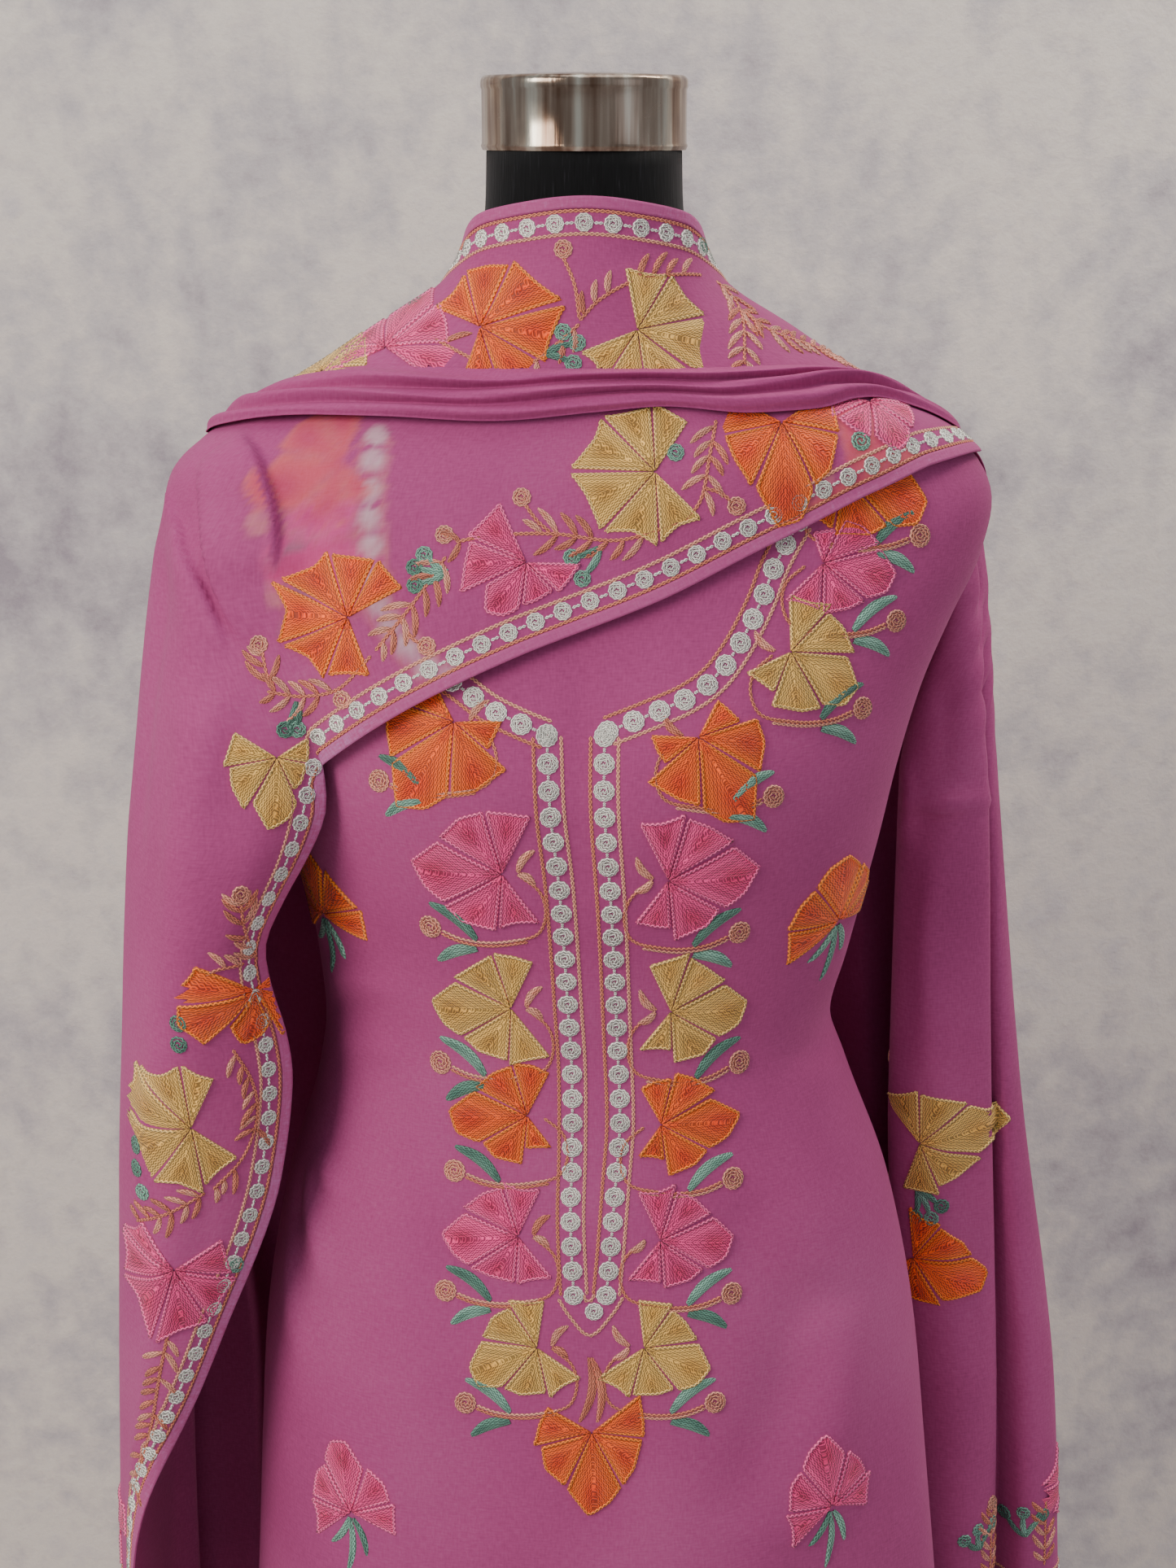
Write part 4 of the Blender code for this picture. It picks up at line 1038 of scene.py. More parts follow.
# %% Salwar pieces
pieces = [("salwar_belt_cloth", belt, "salwar_yoke", (0.92, 0.245))]
for side, leg in legs.items():
    ankle = leg[-1][:, :2]
    heights = np.linspace(CUFF_TOP, CUFF_HEM, 7)
    cuff = np.stack([np.column_stack([ankle, np.full(len(ankle), z)]) for z in heights])
    pieces.append((f"salwar_{side}_leg_cloth", raised(leg, CLOTH, closed=True), f"salwar_leg_{side}", (0.60, 0.54)))
    pieces.append((f"salwar_{side}_cuff_cloth", raised(cuff, CLOTH, closed=True), f"salwar_cuff_{side}", (0.41, 0.04)))
for name, grid, node, size in pieces:
    piece = grid_piece(name, grid, GEORGETTE, wall=0.0008, closed=True)
    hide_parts(node)
    print(name, "stands for", node, "area", round(area_of(np.concatenate([grid, grid[:, :1]], 1)), 3))

# %% [markdown]
# ## The dress form and its stand
#
# The form is hollow moulded plastic under a tight cover of black stretch jersey; its fine
# vertical ribs only show close by. The neck is closed with a chromed steel cap that has been
# handled for years. Its colour carries painted reflections, blurred upright streaks of brown
# and grey, and its roughness carries the smears of handling.

# %% Jersey and chrome
JERSEY, tree, shader = finish_named("jersey_black_stretch_knit")
place = add(tree, "ShaderNodeTexCoord").outputs["Object"]
# knit wales 1.2 mm apart, drawn as fine upright lines with a little lint
wales = add(tree, "ShaderNodeMapping", {"Scale": (820, 820, 60)}, Vector=place)
knit = add(tree, "ShaderNodeTexNoise", {"Scale": 1.0, "Detail": 2.0}, Vector=wales.outputs[0])
tree.links.new(
    ramp(tree, knit.outputs["Fac"], ((0.3, "#060607"), (0.62, "#0E0E10"), (0.8, "#26252A"))),
    shader.inputs["Base Color"],
)
bump = add(tree, "ShaderNodeBump", {"Strength": 0.5, "Distance": 0.0004}, Height=knit.outputs["Fac"])
tree.links.new(bump.outputs[0], shader.inputs["Normal"])
shader.inputs["Roughness"].default_value = 0.9
shader.inputs["Specular IOR Level"].default_value = 0.2
shader.inputs["Sheen Weight"].default_value = 0.12

CHROME, tree, shader = finish_named("chrome_plated_steel_painted_upright_reflections")
place = add(tree, "ShaderNodeTexCoord").outputs["Object"]
# painted reflections: upright streaks 4 mm wide of brown and grey in the colour, which also serve as dents in the bump,
# over handling smears a few centimetres wide in the roughness
upright_streak_stretch = add(tree, "ShaderNodeMapping", {"Scale": (110, 110, 5)}, Vector=place)
marks = add(tree, "ShaderNodeTexNoise", {"Scale": 1.0, "Detail": 3.0}, Vector=upright_streak_stretch.outputs[0])
smears = add(tree, "ShaderNodeTexNoise", {"Scale": 38.0, "Detail": 4.0}, Vector=place)
gloss = add(tree, "ShaderNodeMapRange", {1: 0.35, 2: 0.75, 3: 0.12, 4: 0.34}, i0=smears.outputs["Fac"])
tree.links.new(gloss.outputs[0], shader.inputs["Roughness"])
# the brown and grey streaks in the base colour are painted reflections
tree.links.new(
    ramp(tree, marks.outputs["Fac"], ((0.36, "#6A5446"), (0.50, "#98887A"), (0.64, "#BEB8AA"))),
    shader.inputs["Base Color"],
)
dents = add(tree, "ShaderNodeBump", {"Strength": 0.25, "Distance": 0.002}, Height=marks.outputs["Fac"])
tree.links.new(dents.outputs[0], shader.inputs["Normal"])
shader.inputs["Metallic"].default_value = 1.0
print("materials:", JERSEY.name, CHROME.name)

# %% [markdown]
# The hard parts are turned bodies, so each is a profile spun round the upright axis with the
# spin operator. The torso's sections are not round, so it is a closed grid like the cloth,
# with both ends filled.


# %% Torso, cap, pole, flange and base
def turned_piece(name, profile, look, steps=128):
    """A body turned about the upright axis from (radius, height) points, top to bottom."""
    mesh = bmesh.new()
    line = [mesh.verts.new((radius, 0, z)) for radius, z in profile]
    edges = [mesh.edges.new(pair) for pair in zip(line, line[1:])]
    bmesh.ops.spin(
        mesh, geom=line + edges, cent=(0, 0, 0), axis=(0, 0, 1), angle=2 * math.pi, steps=steps, use_merge=True
    )
    bmesh.ops.remove_doubles(mesh, verts=mesh.verts, dist=1e-6)
    bmesh.ops.recalc_face_normals(mesh, faces=mesh.faces)
    data = bpy.data.meshes.new(name)
    mesh.to_mesh(data)
    mesh.free()
    data.shade_smooth()
    data.set_sharp_from_angle(angle=math.radians(35))
    data.materials.append(look)
    piece = bpy.data.objects.new(name, data)
    bpy.context.scene.collection.objects.link(piece)
    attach(piece, "root")
    return piece


def rounded(radius, z, rounding, steps=6):
    """The quarter round of an upper edge, from the flat outward and down."""
    turns = [math.pi / 2 * i / steps for i in range(steps + 1)]
    return [(radius - rounding * (1 - math.sin(a)), z - rounding * (1 - math.cos(a))) for a in turns]


NECK_TOP, CAP_HEIGHT, CAP_RADIUS = 1.4600, 0.0385, 0.0550
cap_top = NECK_TOP + CAP_HEIGHT
cap_profile = (
    [(0, cap_top + 0.0015), (CAP_RADIUS * 0.35, cap_top + 0.0013), (CAP_RADIUS * 0.7, cap_top + 0.0006)]
    + rounded(CAP_RADIUS, cap_top, 0.0035)
    + [(CAP_RADIUS, cap_top - 0.006), (CAP_RADIUS - 0.0006, cap_top - 0.0075), (CAP_RADIUS - 0.0006, NECK_TOP + 0.004)]
    + [(CAP_RADIUS, NECK_TOP + 0.0025), (CAP_RADIUS - 0.001, NECK_TOP + SEAM_GAP), (0, NECK_TOP + SEAM_GAP)]
)
cap = turned_piece("neck_cap_chrome", cap_profile, CHROME)

TORSO_BOTTOM, BASE_RADIUS, BASE_HEIGHT = 0.720, 0.170, 0.012
HUB_RADIUS, HUB_HEIGHT, POLE_RADIUS = 0.028, 0.026, 0.0125
FLANGE_RADIUS, FLANGE_HEIGHT = 0.042, 0.005
base_profile = (
    [(0, BASE_HEIGHT + HUB_HEIGHT)]
    + rounded(POLE_RADIUS + 0.005, BASE_HEIGHT + HUB_HEIGHT, 0.002)
    + [(HUB_RADIUS * 0.72, BASE_HEIGHT + HUB_HEIGHT - 0.008), (HUB_RADIUS * 0.86, BASE_HEIGHT + 0.009)]
    + [(HUB_RADIUS, BASE_HEIGHT + 0.003), (HUB_RADIUS * 1.2, BASE_HEIGHT + 0.0008), (HUB_RADIUS * 1.5, BASE_HEIGHT)]
    + [(BASE_RADIUS * 0.6, BASE_HEIGHT - 0.0012)]
    + rounded(BASE_RADIUS, BASE_HEIGHT - 0.0030, 0.004)
    + [(BASE_RADIUS, 0.002), (BASE_RADIUS - 0.002, 0), (0, 0)]
)
base = turned_piece("stand_base_chrome", base_profile, CHROME)
foot = BASE_HEIGHT + HUB_HEIGHT + SEAM_GAP
flange_top = TORSO_BOTTOM - SEAM_GAP
flange_low = flange_top - FLANGE_HEIGHT
pole = turned_piece(
    "stand_pole_chrome",
    [(0, flange_low - SEAM_GAP), (POLE_RADIUS, flange_low - SEAM_GAP), (POLE_RADIUS, foot), (0, foot)],
    CHROME,
    64,
)
flange = turned_piece(
    "stand_flange_chrome",
    [(0, flange_top)]
    + rounded(FLANGE_RADIUS, flange_top, 0.001, 3)
    + [(FLANGE_RADIUS, flange_low + 0.001), (FLANGE_RADIUS - 0.001, flange_low), (0, flange_low)],
    CHROME,
    64,
)
torso_rows = np.array([[section_point(FORM, FORM_BUST, a, row[0]) for a in range(0, 360, 4)] for row in FORM])
torso = grid_piece("form_torso_jersey", finer(torso_rows, 4), JERSEY, wall=0, closed=True)
mesh = bmesh.new()
mesh.from_mesh(torso.data)
bmesh.ops.holes_fill(mesh, edges=[e for e in mesh.edges if e.is_boundary])
bmesh.ops.recalc_face_normals(mesh, faces=mesh.faces)
mesh.to_mesh(torso.data)
mesh.free()
for piece, node, slot in (
    (cap, "neck_cap", "chrome"),
    (base, "stand_base", "chrome"),
    (pole, "stand_pole", "chrome"),
    (flange, "stand_flange", "chrome"),
    (torso, "form_torso", "black_jersey"),
):
    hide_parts(node)
    print(piece.name, "stands for", node)

# %% [markdown]
# ## Chain stitch
#
# The work is done with a hook through the cloth: every stitch is a loop caught by the next
# one, so a row looks like a small braid. Petals and leaves are filled with rows side by side.
# It is thick, about a millimetre, and that is what makes it read as embroidery and not as
# print. So it is geometry here: a single row is a ribbon with a raised middle, and a filled
# petal or leaf is a low dome. The rows of a dome follow its outline and are too fine for mesh:
# its UV counts rows across and stitches along, and the thread material draws the two strands
# of each loop, their height, a painted highlight on the strands with painted shade between
# them, and the small change of dye from row to row.

# %% Thread material
THREAD, tree, shader = finish_named("rayon_floss_chain_stitched")
flat = add(tree, "ShaderNodeUVMap", {"uv_map": "stitches"}).outputs["UV"]
split = add(tree, "ShaderNodeSeparateXYZ", Vector=flat)
row_number = add(tree, "ShaderNodeMath", {"operation": "FLOOR"}, i0=split.outputs["X"])
across = add(tree, "ShaderNodeMath", {"operation": "FRACT"}, i0=split.outputs["X"])
across = add(tree, "ShaderNodeMath", {"operation": "SUBTRACT", 1: 0.5}, i0=across.outputs[0])
across = add(tree, "ShaderNodeMath", {"operation": "ABSOLUTE"}, i0=across.outputs[0])
stagger = add(tree, "ShaderNodeMath", {"operation": "MULTIPLY_ADD", 1: 0.5}, i0=row_number.outputs[0])
tree.links.new(split.outputs["Y"], stagger.inputs[2])
phase = add(tree, "ShaderNodeMath", {"operation": "FRACT"}, i0=stagger.outputs[0])
turn = add(tree, "ShaderNodeMath", {"operation": "MULTIPLY", 1: math.pi}, i0=phase.outputs[0])
loop = add(tree, "ShaderNodeMath", {"operation": "SINE"}, i0=turn.outputs[0])
# the strands start together at a stitch's foot and stand 0.6 of the row's width apart in its loop
apart = add(tree, "ShaderNodeMath", {"operation": "MULTIPLY", 1: 0.30}, i0=loop.outputs[0])
off = add(tree, "ShaderNodeMath", {"operation": "SUBTRACT"}, i0=across.outputs[0], i1=apart.outputs[0])
off = add(tree, "ShaderNodeMath", {"operation": "ABSOLUTE"}, i0=off.outputs[0])
strand = add(tree, "ShaderNodeMapRange", {1: 0.05, 2: 0.22, 3: 1.0, 4: 0.0}, i0=off.outputs[0])
fibres = add(tree, "ShaderNodeTexNoise", {"Scale": 900.0, "Detail": 2.0})
tree.links.new(add(tree, "ShaderNodeTexCoord").outputs["Object"], fibres.inputs["Vector"])
dyed = add(tree, "ShaderNodeAttribute", {"attribute_name": "thread"})
# painted highlight and painted shade: the dye is scaled up to 1.62 on the strands and down to 0.46 in the gaps between
# them
shade = add(tree, "ShaderNodeMapRange", {1: 0.0, 2: 1.0, 3: 0.46, 4: 1.62}, i0=strand.outputs[0])
fleck = add(tree, "ShaderNodeMapRange", {1: 0.3, 2: 0.7, 3: 0.86, 4: 1.12}, i0=fibres.outputs["Fac"])
skein = add(tree, "ShaderNodeTexWhiteNoise", {"noise_dimensions": "1D"}, W=row_number.outputs[0])
skein = add(tree, "ShaderNodeMapRange", {1: 0.0, 2: 1.0, 3: 0.82, 4: 1.14}, i0=skein.outputs["Value"])
value = add(tree, "ShaderNodeMath", {"operation": "MULTIPLY"}, i0=shade.outputs[0], i1=fleck.outputs[0])
value = add(tree, "ShaderNodeMath", {"operation": "MULTIPLY"}, i0=value.outputs[0], i1=skein.outputs[0])
thread_colour = add(tree, "ShaderNodeVectorMath", {"operation": "SCALE"}, Vector=dyed.outputs["Color"])
tree.links.new(value.outputs[0], thread_colour.inputs["Scale"])
tree.links.new(thread_colour.outputs[0], shader.inputs["Base Color"])
bump = add(tree, "ShaderNodeBump", {"Strength": 0.9, "Distance": 0.0007}, Height=strand.outputs[0])
tree.links.new(bump.outputs[0], shader.inputs["Normal"])
shader.inputs["Roughness"].default_value = 0.55
shader.inputs["Specular IOR Level"].default_value = 0.4
shader.inputs["Sheen Weight"].default_value = 0.15
print("material:", THREAD.name)

# Each dye: light, middle and dark, as skeins of one colour vary
DYES = {
    "orange": ("#FF9A30", "#FA5E14", "#DE3C08"),
    "yellow": ("#F8D184", "#E9B65C", "#CE9642"),
    "pink": ("#FC78AE", "#F04488", "#D02A64"),
    "green": ("#80B09C", "#5C8C7A", "#447062"),
    "copper": ("#E89C84", "#D67A60", "#B65C48"),
    "silver": ("#F4F1E8", "#DEDACF", "#BCB7A9"),
}
DYES = {name: [np.array(linear(c)[:3]) for c in shades] for name, shades in DYES.items()}
draw = np.random.default_rng(11)


# %% Rows and patches of stitches
STITCH = 0.0027  # one loop, along its row
ROW = 0.0019  # from row to row
SEWN = {}  # the meshes of each embroidered piece
TAKEN = {}  # where its flowers lie
BORDER_ROWS = {}  # points along its border rows


def keep(piece, points, uv, colours, fine, outward):
    """Stores a grid of points as part of an embroidered piece; fine marks the usable ones."""
    quads = fine[:-1, :-1] & fine[1:, :-1] & fine[1:, 1:] & fine[:-1, 1:]
    if not quads.any():
        return
    number = np.arange(points.shape[0] * points.shape[1]).reshape(points.shape[:2])
    faces = np.stack([number[:-1, :-1], number[:-1, 1:], number[1:, 1:], number[1:, :-1]], -1)[quads]
    i, j = np.argwhere(quads)[len(faces) // 2]
    way = np.cross(points[i, j + 1] - points[i, j], points[i + 1, j] - points[i, j])
    if way @ outward < 0:
        faces = faces[:, ::-1]
    used, faces = np.unique(faces, return_inverse=True)
    colours = np.broadcast_to(colours, points.shape).reshape(-1, 3)[used]
    SEWN.setdefault(piece, []).append(
        (points.reshape(-1, 3)[used], uv.reshape(-1, 2)[used], colours, faces.reshape(-1, 4))
    )


def frame_on(tree, place, up=(0, 0, 1)):
    """Origin, right, up and outward on a cloth, at a place in the picture or a point in space."""
    if len(place) == 2:
        origin, normal, _, _ = tree.ray_cast(CAMERA_PLACE, sight(*place))
    else:
        origin, normal, _, _ = tree.find_nearest(Vector(place))
    if origin is None:
        return None
    normals = [normal]
    for dx, dz in ((0.008, 0), (-0.008, 0), (0, 0.008), (0, -0.008)):
        near = tree.find_nearest(origin + Vector((dx, 0, dz)))[1]
        normals.append(near if near.dot(normal) > 0 else normal)
    normal = sum(normals, Vector()).normalized()
    up = Vector(up)
    up = (up - normal * up.dot(normal)).normalized()
    right = up.cross(normal)
    if len(place) == 2:
        # the picture shortens what slants away, so lengths read from it are made good here
        line = sight(*place)
        up, right = (way / max(math.sqrt(1 - way.dot(line) ** 2), 0.6) for way in (up, right))
    return origin, right, up, normal


def in_frame(place, point):
    """A point in space as flat millimetres in a frame."""
    origin, right, up, _ = place
    away = Vector(point) - origin
    return np.array([away.dot(right) / right.length_squared, away.dot(up) / up.length_squared]) * 1000


def laid(tree, place, flat, lift):
    """Flat points in millimetres laid on the cloth round a frame, and lifted off it."""
    origin, right, up, normal = place
    shape = flat.shape[:-1]
    lift = np.broadcast_to(lift, shape).ravel()
    points, fine = np.zeros((lift.size, 3)), np.zeros(lift.size, bool)
    for i, (x, y) in enumerate(flat.reshape(-1, 2) / 1000):
        above = origin + right * x + up * y
        hit, face, _, _ = tree.ray_cast(above + normal * 0.03, -normal, 0.07)
        if hit is not None:
            if face.dot(normal) < 0:
                face.negate()
            points[i], fine[i] = hit + face * lift[i], face.dot(normal) > 0.15
    return points.reshape(*shape, 3), fine.reshape(shape)


def filled(piece, tree, place, flat, rows, shades, height=0.0012):
    """A raised patch: flat and rows are (along, across) in millimetres, shades are tones of one dye."""
    along, across = flat.shape[:2]
    i, j = np.meshgrid(np.linspace(0, 1, along), np.linspace(-1, 1, across), indexing="ij")
    lift = height * np.clip(1.25 - np.abs(j) ** 4 * 1.25, 0, 1)
    lift = lift * np.clip(6 * i + 0.5, 0, 1) * np.clip(9 * (1 - i), 0, 1)
    points, fine = laid(tree, place, flat, lift)
    uv = rows / 1000 / (ROW, STITCH) + (int(draw.integers(0, 90)), 0)
    light, middle, dark = shades
    deep = np.exp(-(((i - 0.74) / 0.17) ** 2) - (j / 0.42) ** 2)[..., None]
    colours = middle + (dark - middle) * np.clip(1.25 * deep + 0.5 * (i < 0.2)[..., None], 0, 1)
    colours = colours + (light - middle) * (0.38 * np.abs(j) ** 3)[..., None]
    keep(piece, points, uv, colours * draw.uniform(0.93, 1.07), fine, np.array(place[3]))
    return points[fine]


def ribbon(piece, tree, path, shade, width=0.0022, height=0.0012, stitch=STITCH):
    """One row of chain stitches along points that lie on the cloth."""
    path = np.asarray(path, float)
    run = np.concatenate([[0], np.cumsum(np.linalg.norm(np.diff(path, axis=0), axis=1))])
    if len(path) < 2 or run[-1] < stitch:
        return
    steps = max(2, int(round(run[-1] / stitch))) * 2
    at = np.linspace(0, run[-1], steps + 1)
    middle = np.stack([np.interp(at, run, path[:, k]) for k in range(3)], 1)
    spots = [tree.find_nearest(Vector(p))[:2] for p in middle]
    on = np.array([list(s[0]) for s in spots])
    out = np.array([list(s[1]) for s in spots])
    out = unit(out + np.roll(out, 1, 0) * 0.5 + np.roll(out, -1, 0) * 0.5)
    side = unit(np.cross(out, np.gradient(on, axis=0)))
    k = np.arange(steps + 1)
    half = width / 2 * np.where(k % 2 == 1, 1.0, 0.72)
    tall = height * np.where(k % 2 == 1, 1.0, 0.85)
    half[[0, -1]], tall[[0, -1]] = width * 0.2, height * 0.3
    left, right = on - side * half[:, None] - out * 0.0001, on + side * half[:, None] - out * 0.0001
    points = np.stack([left, on + out * tall[:, None], right], 1)
    uv = np.stack([np.broadcast_to([0.0, 0.5, 1.0], (steps + 1, 3)), np.repeat(k / 2, 3).reshape(-1, 3)], -1)
    colours = np.broadcast_to(shade * draw.uniform(0.93, 1.06), (*points.shape[:2], 3))
    keep(piece, points, uv, colours, np.ones(points.shape[:2], bool), out[len(out) // 2])


def drawn(piece, tree, place, flat, shade, **how):
    """A row along a flat path in millimetres; it ends where the cloth ends."""
    points, fine = laid(tree, place, flat, 0.0)
    if fine.sum() > 2:
        first = int(np.argmax(fine))
        last = first + int(np.argmin(np.append(fine[first:], False)))
        ribbon(piece, tree, points[first:last], shade, **how)


def smooth(flat):
    return finer(np.asarray(flat, float), 5)


print("a stitch is", STITCH * 1000, "mm long, rows are", ROW * 1000, "mm apart")

# %% [markdown]
# ## Motifs
#
# The flower is a fan of five or six petals that spring from one side, in the manner of a plane
# tree's leaf; it is a traditional motif, drawn here from a few angles and lengths. With it go
# slim green leaves, copper stems that end in a coiled bud, fern sprays, green berries on
# stalks, and silver roundels, which are one row of chain wound into a disc.

# %% Motifs
# A petal is the (angle from the fan's axis, reach) of the corners of its outer edge
FIVE_PETALS = (
    ((-119, 1.00), (-98, 0.96), (-76, 1.08)),
    ((-74, 0.98), (-52, 1.06), (-27, 1.18)),
    ((-24, 1.12), (-2, 1.58), (14, 1.44), (29, 1.14)),
    ((31, 1.12), (50, 1.06), (82, 0.98)),
    ((84, 1.00), (103, 0.96), (127, 1.12)),
)
SIX_PETALS = (
    ((-134, 0.92), (-116, 0.90), (-99, 1.02)),
    ((-97, 1.04), (-78, 0.98), (-58, 1.10)),
    ((-56, 1.20), (-40, 1.06), (-13, 1.32)),
    ((-10, 1.34), (8, 1.10), (36, 1.20)),
    ((38, 1.14), (58, 1.00), (82, 1.10)),
    ((84, 1.02), (103, 0.90), (126, 1.00)),
)


def polar(angle, reach):
    return np.stack([reach * np.cos(np.radians(angle)), reach * np.sin(np.radians(angle))], -1)


def off_border(piece, place, flat, room):
    """Whether flat places stay that far from the border rows of their piece."""
    if piece not in BORDER_ROWS:
        return True
    origin, right, up, _ = (np.array(part) for part in place)
    points = origin + (np.atleast_2d(flat) / 1000) @ np.array([right, up])
    rows = np.concatenate(BORDER_ROWS[piece])
    return np.linalg.norm(points[:, None] - rows[None], axis=2).min() > room


def is_free(piece, place, flat, room=0.003):
    """Whether no flower or border of the piece lies within that distance of a flat place."""
    if not off_border(piece, place, flat, room):
        return False
    origin, right, up, _ = place
    point = np.array(origin + right * float(flat[0]) / 1000 + up * float(flat[1]) / 1000)
    return all(len(sewn) == 0 or np.linalg.norm(sewn - point, axis=1).min() > room for sewn in TAKEN.get(piece, []))


def flower(piece, tree, at, axis, dye, size=33, fan=FIVE_PETALS, mirrored=False, squeeze=1.0, up=(0, 0, 1)):
    """A fan flower whose centre is at a place; axis is the way it opens, 0 right and 90 up."""
    place = frame_on(tree, at, up)
    if place is None:
        return
    light, middle, dark = DYES[dye]
    for corners in fan:
        corners = np.array(corners)
        corners[:, 1] *= size * draw.uniform(0.94, 1.06, len(corners))
        if mirrored:
            corners = corners[::-1] * (-1, 1)
        corners = polar(axis + corners[:, 0] * squeeze, corners[:, 1])
        for _ in range(6):
            if not off_border(piece, place, np.concatenate([corners, corners * 0.8]), 0.0037):
                corners = corners * 0.93
        run = np.concatenate([[0], np.cumsum(np.linalg.norm(np.diff(corners, axis=0), axis=1))])
        half = max(3, int(round(run[-1] / 7)))
        at = np.linspace(0, run[-1], 2 * half + 1)
        edge = np.stack([np.interp(at, run, corners[:, k]) for k in (0, 1)], 1)
        steps = max(6, int(round(np.linalg.norm(edge[half]) / 2.6)))
        patch = np.linspace(0.02, 0.985, steps + 1)[:, None, None] * edge[None]
        # rows run beside the nearer long edge, so they meet in the middle like a spear's head
        sides = [e / np.linalg.norm(e) for e in (corners[0], corners[-1])]
        away = [np.abs(patch[..., 0] * e[1] - patch[..., 1] * e[0]) for e in sides]
        rows = np.stack([np.minimum(*away), np.linalg.norm(patch, axis=-1)], -1)
        sewn = filled(piece, tree, place, patch, rows, (light, middle, dark))
        TAKEN.setdefault(piece, []).append(sewn)
        # the outline lies inside the edge, so that neighbours stay apart
        middle_way = corners.mean(0) / np.linalg.norm(corners.mean(0))
        inner = edge * 0.965
        out = np.linspace(0.16, 0.97, 8)[:, None]
        turned = [np.array([-e[1], e[0]]) / np.linalg.norm(e) for e in (edge[0], edge[-1])]
        inward = [t * np.sign(t @ middle_way) for t in turned]
        first, last = (out * e + t for e, t in zip((edge[0], edge[-1]), inward))
        rim = np.concatenate([first, inner[1:-1], last[::-1]])
        points, fine = laid(tree, place, rim, 0.0)
        last = int(np.argmin(np.append(fine, False)))
        if last > 2:
            ribbon(piece, tree, points[:last], 0.6 * light + 0.4 * middle, width=0.0024, height=0.0018)


def spiral(piece, tree, place, centre, radius, shade, width=2.0):
    """One row wound into a disc of that radius, in millimetres."""
    turns = max(1.2, (radius - width / 2) / (width * 0.82))
    t = np.linspace(0.10, 1 + 0.9 / turns, int(14 * turns) + 12)  # the last turn is a full round
    flat = np.array(centre) + polar(360 * turns * t, (radius - width / 2) * np.minimum(t, 1))
    points, fine = laid(tree, place, flat, 0.0)
    if fine.all():
        ribbon(piece, tree, points, shade, width=width / 1000, height=0.0014, stitch=0.0026)


def blade(piece, tree, place, root, tip, wide, dye="green", bend=0.12):
    """A filled leaf or bar from root to tip, with rows along it."""
    root, tip = np.array(root, float), np.array(tip, float)
    long = np.linalg.norm(tip - root)
    along = (tip - root) / max(long, 1e-6)
    side = np.array([-along[1], along[0]])
    if not all(is_free(piece, place, root + (tip - root) * t) for t in (0.45, 0.95)):
        return
    steps, rows = max(4, int(round(long / 2.2))), 2
    t = np.linspace(0, 1, steps + 1)
    fat = wide / 2 * np.clip(np.sin(np.pi * np.clip(0.08 + t * 0.88, 0, 1)), 0, 1) ** 0.55
    middle = root + t[:, None] * (tip - root) + side * (bend * long * np.sin(np.pi * t))[:, None]
    share = np.linspace(-1, 1, 2 * rows + 1)
    flat = middle[:, None, :] + side * (fat[:, None] * share[None, :])[..., None]
    light, normal, dark = DYES[dye]
    shades = (light, light, normal) if draw.random() < 0.5 else (normal, normal, dark)
    rows = np.stack([fat[:, None] * (share[None, :] + 1), np.broadcast_to(t[:, None] * long, flat.shape[:2])], -1)
    filled(piece, tree, place, flat, rows, shades)


def stem(piece, tree, place, flat, double=True, dye="copper"):
    """A stem of one row, or two side by side."""
    flat = smooth(flat)
    if not double:
        return drawn(piece, tree, place, flat, DYES[dye][1])
    way = np.gradient(flat, axis=0)
    side = np.stack([-way[:, 1], way[:, 0]], 1) / np.linalg.norm(way, axis=1, keepdims=True)
    for off, tone in ((-0.9, 0), (0.9, 1)):
        drawn(piece, tree, place, flat + side * off, DYES[dye][tone])


def spray(piece, tree, path, step=8.5, reach=15, buds=(), sides=(1, -1), dye="copper", lean=42, up=(0, 0, 1)):
    """A vine along places in the picture or in space: a stem with bars on its sides, and buds."""
    path = seen_on(tree, path) if len(path[0]) == 2 else [Vector(p) for p in path]
    if len(path) < 2:
        return
    path = evenly([list(p) for p in path], 0.002)
    ribbon(piece, tree, path, DYES[dye][1], width=0.0024)
    run = np.arange(len(path)) * np.linalg.norm(path[1] - path[0])
    for k, at in enumerate(np.arange(0.003, run[-1] + 0.001, step / 1000)):
        i = min(int(np.searchsorted(run, at)), len(path) - 2)
        place = frame_on(tree, tuple(path[i]), up)
        along = in_frame(place, path[i + 1]) - in_frame(place, path[i])
        along = along / max(np.linalg.norm(along), 1e-9)
        side = np.array([-along[1], along[0]])
        for s in sides:
            tilt = math.radians(lean + draw.uniform(-9, 9))
            way = along * math.cos(tilt) + side * s * math.sin(tilt)
            length = reach * draw.uniform(0.75, 1.1) * (0.75 if at > run[-1] * 0.85 else 1)
            blade(piece, tree, place, side * s * 0.6, side * s * 0.6 + way * length, 3.7, dye, bend=0.06 * s)
    for bud in buds:
        place = frame_on(tree, bud, up)
        if place is not None and is_free(piece, place, (0, 0)):
            spiral(piece, tree, place, (0, 0), 5.2, DYES[dye][0])


def berries(piece, tree, at, ways=(60, 110, 160), reach=17, up=(0, 0, 1)):
    """Green berries on short stalks."""
    place = frame_on(tree, at, up)
    if place is None:
        return
    for way in ways:
        tip = polar(way, reach * draw.uniform(0.85, 1.1))
        if is_free(piece, place, tip):
            blade(piece, tree, place, (0, 0), tip * 0.9, 4.2, "green", bend=0.08)
            spiral(piece, tree, place, tip, 4.8, DYES["green"][int(draw.integers(0, 2))])


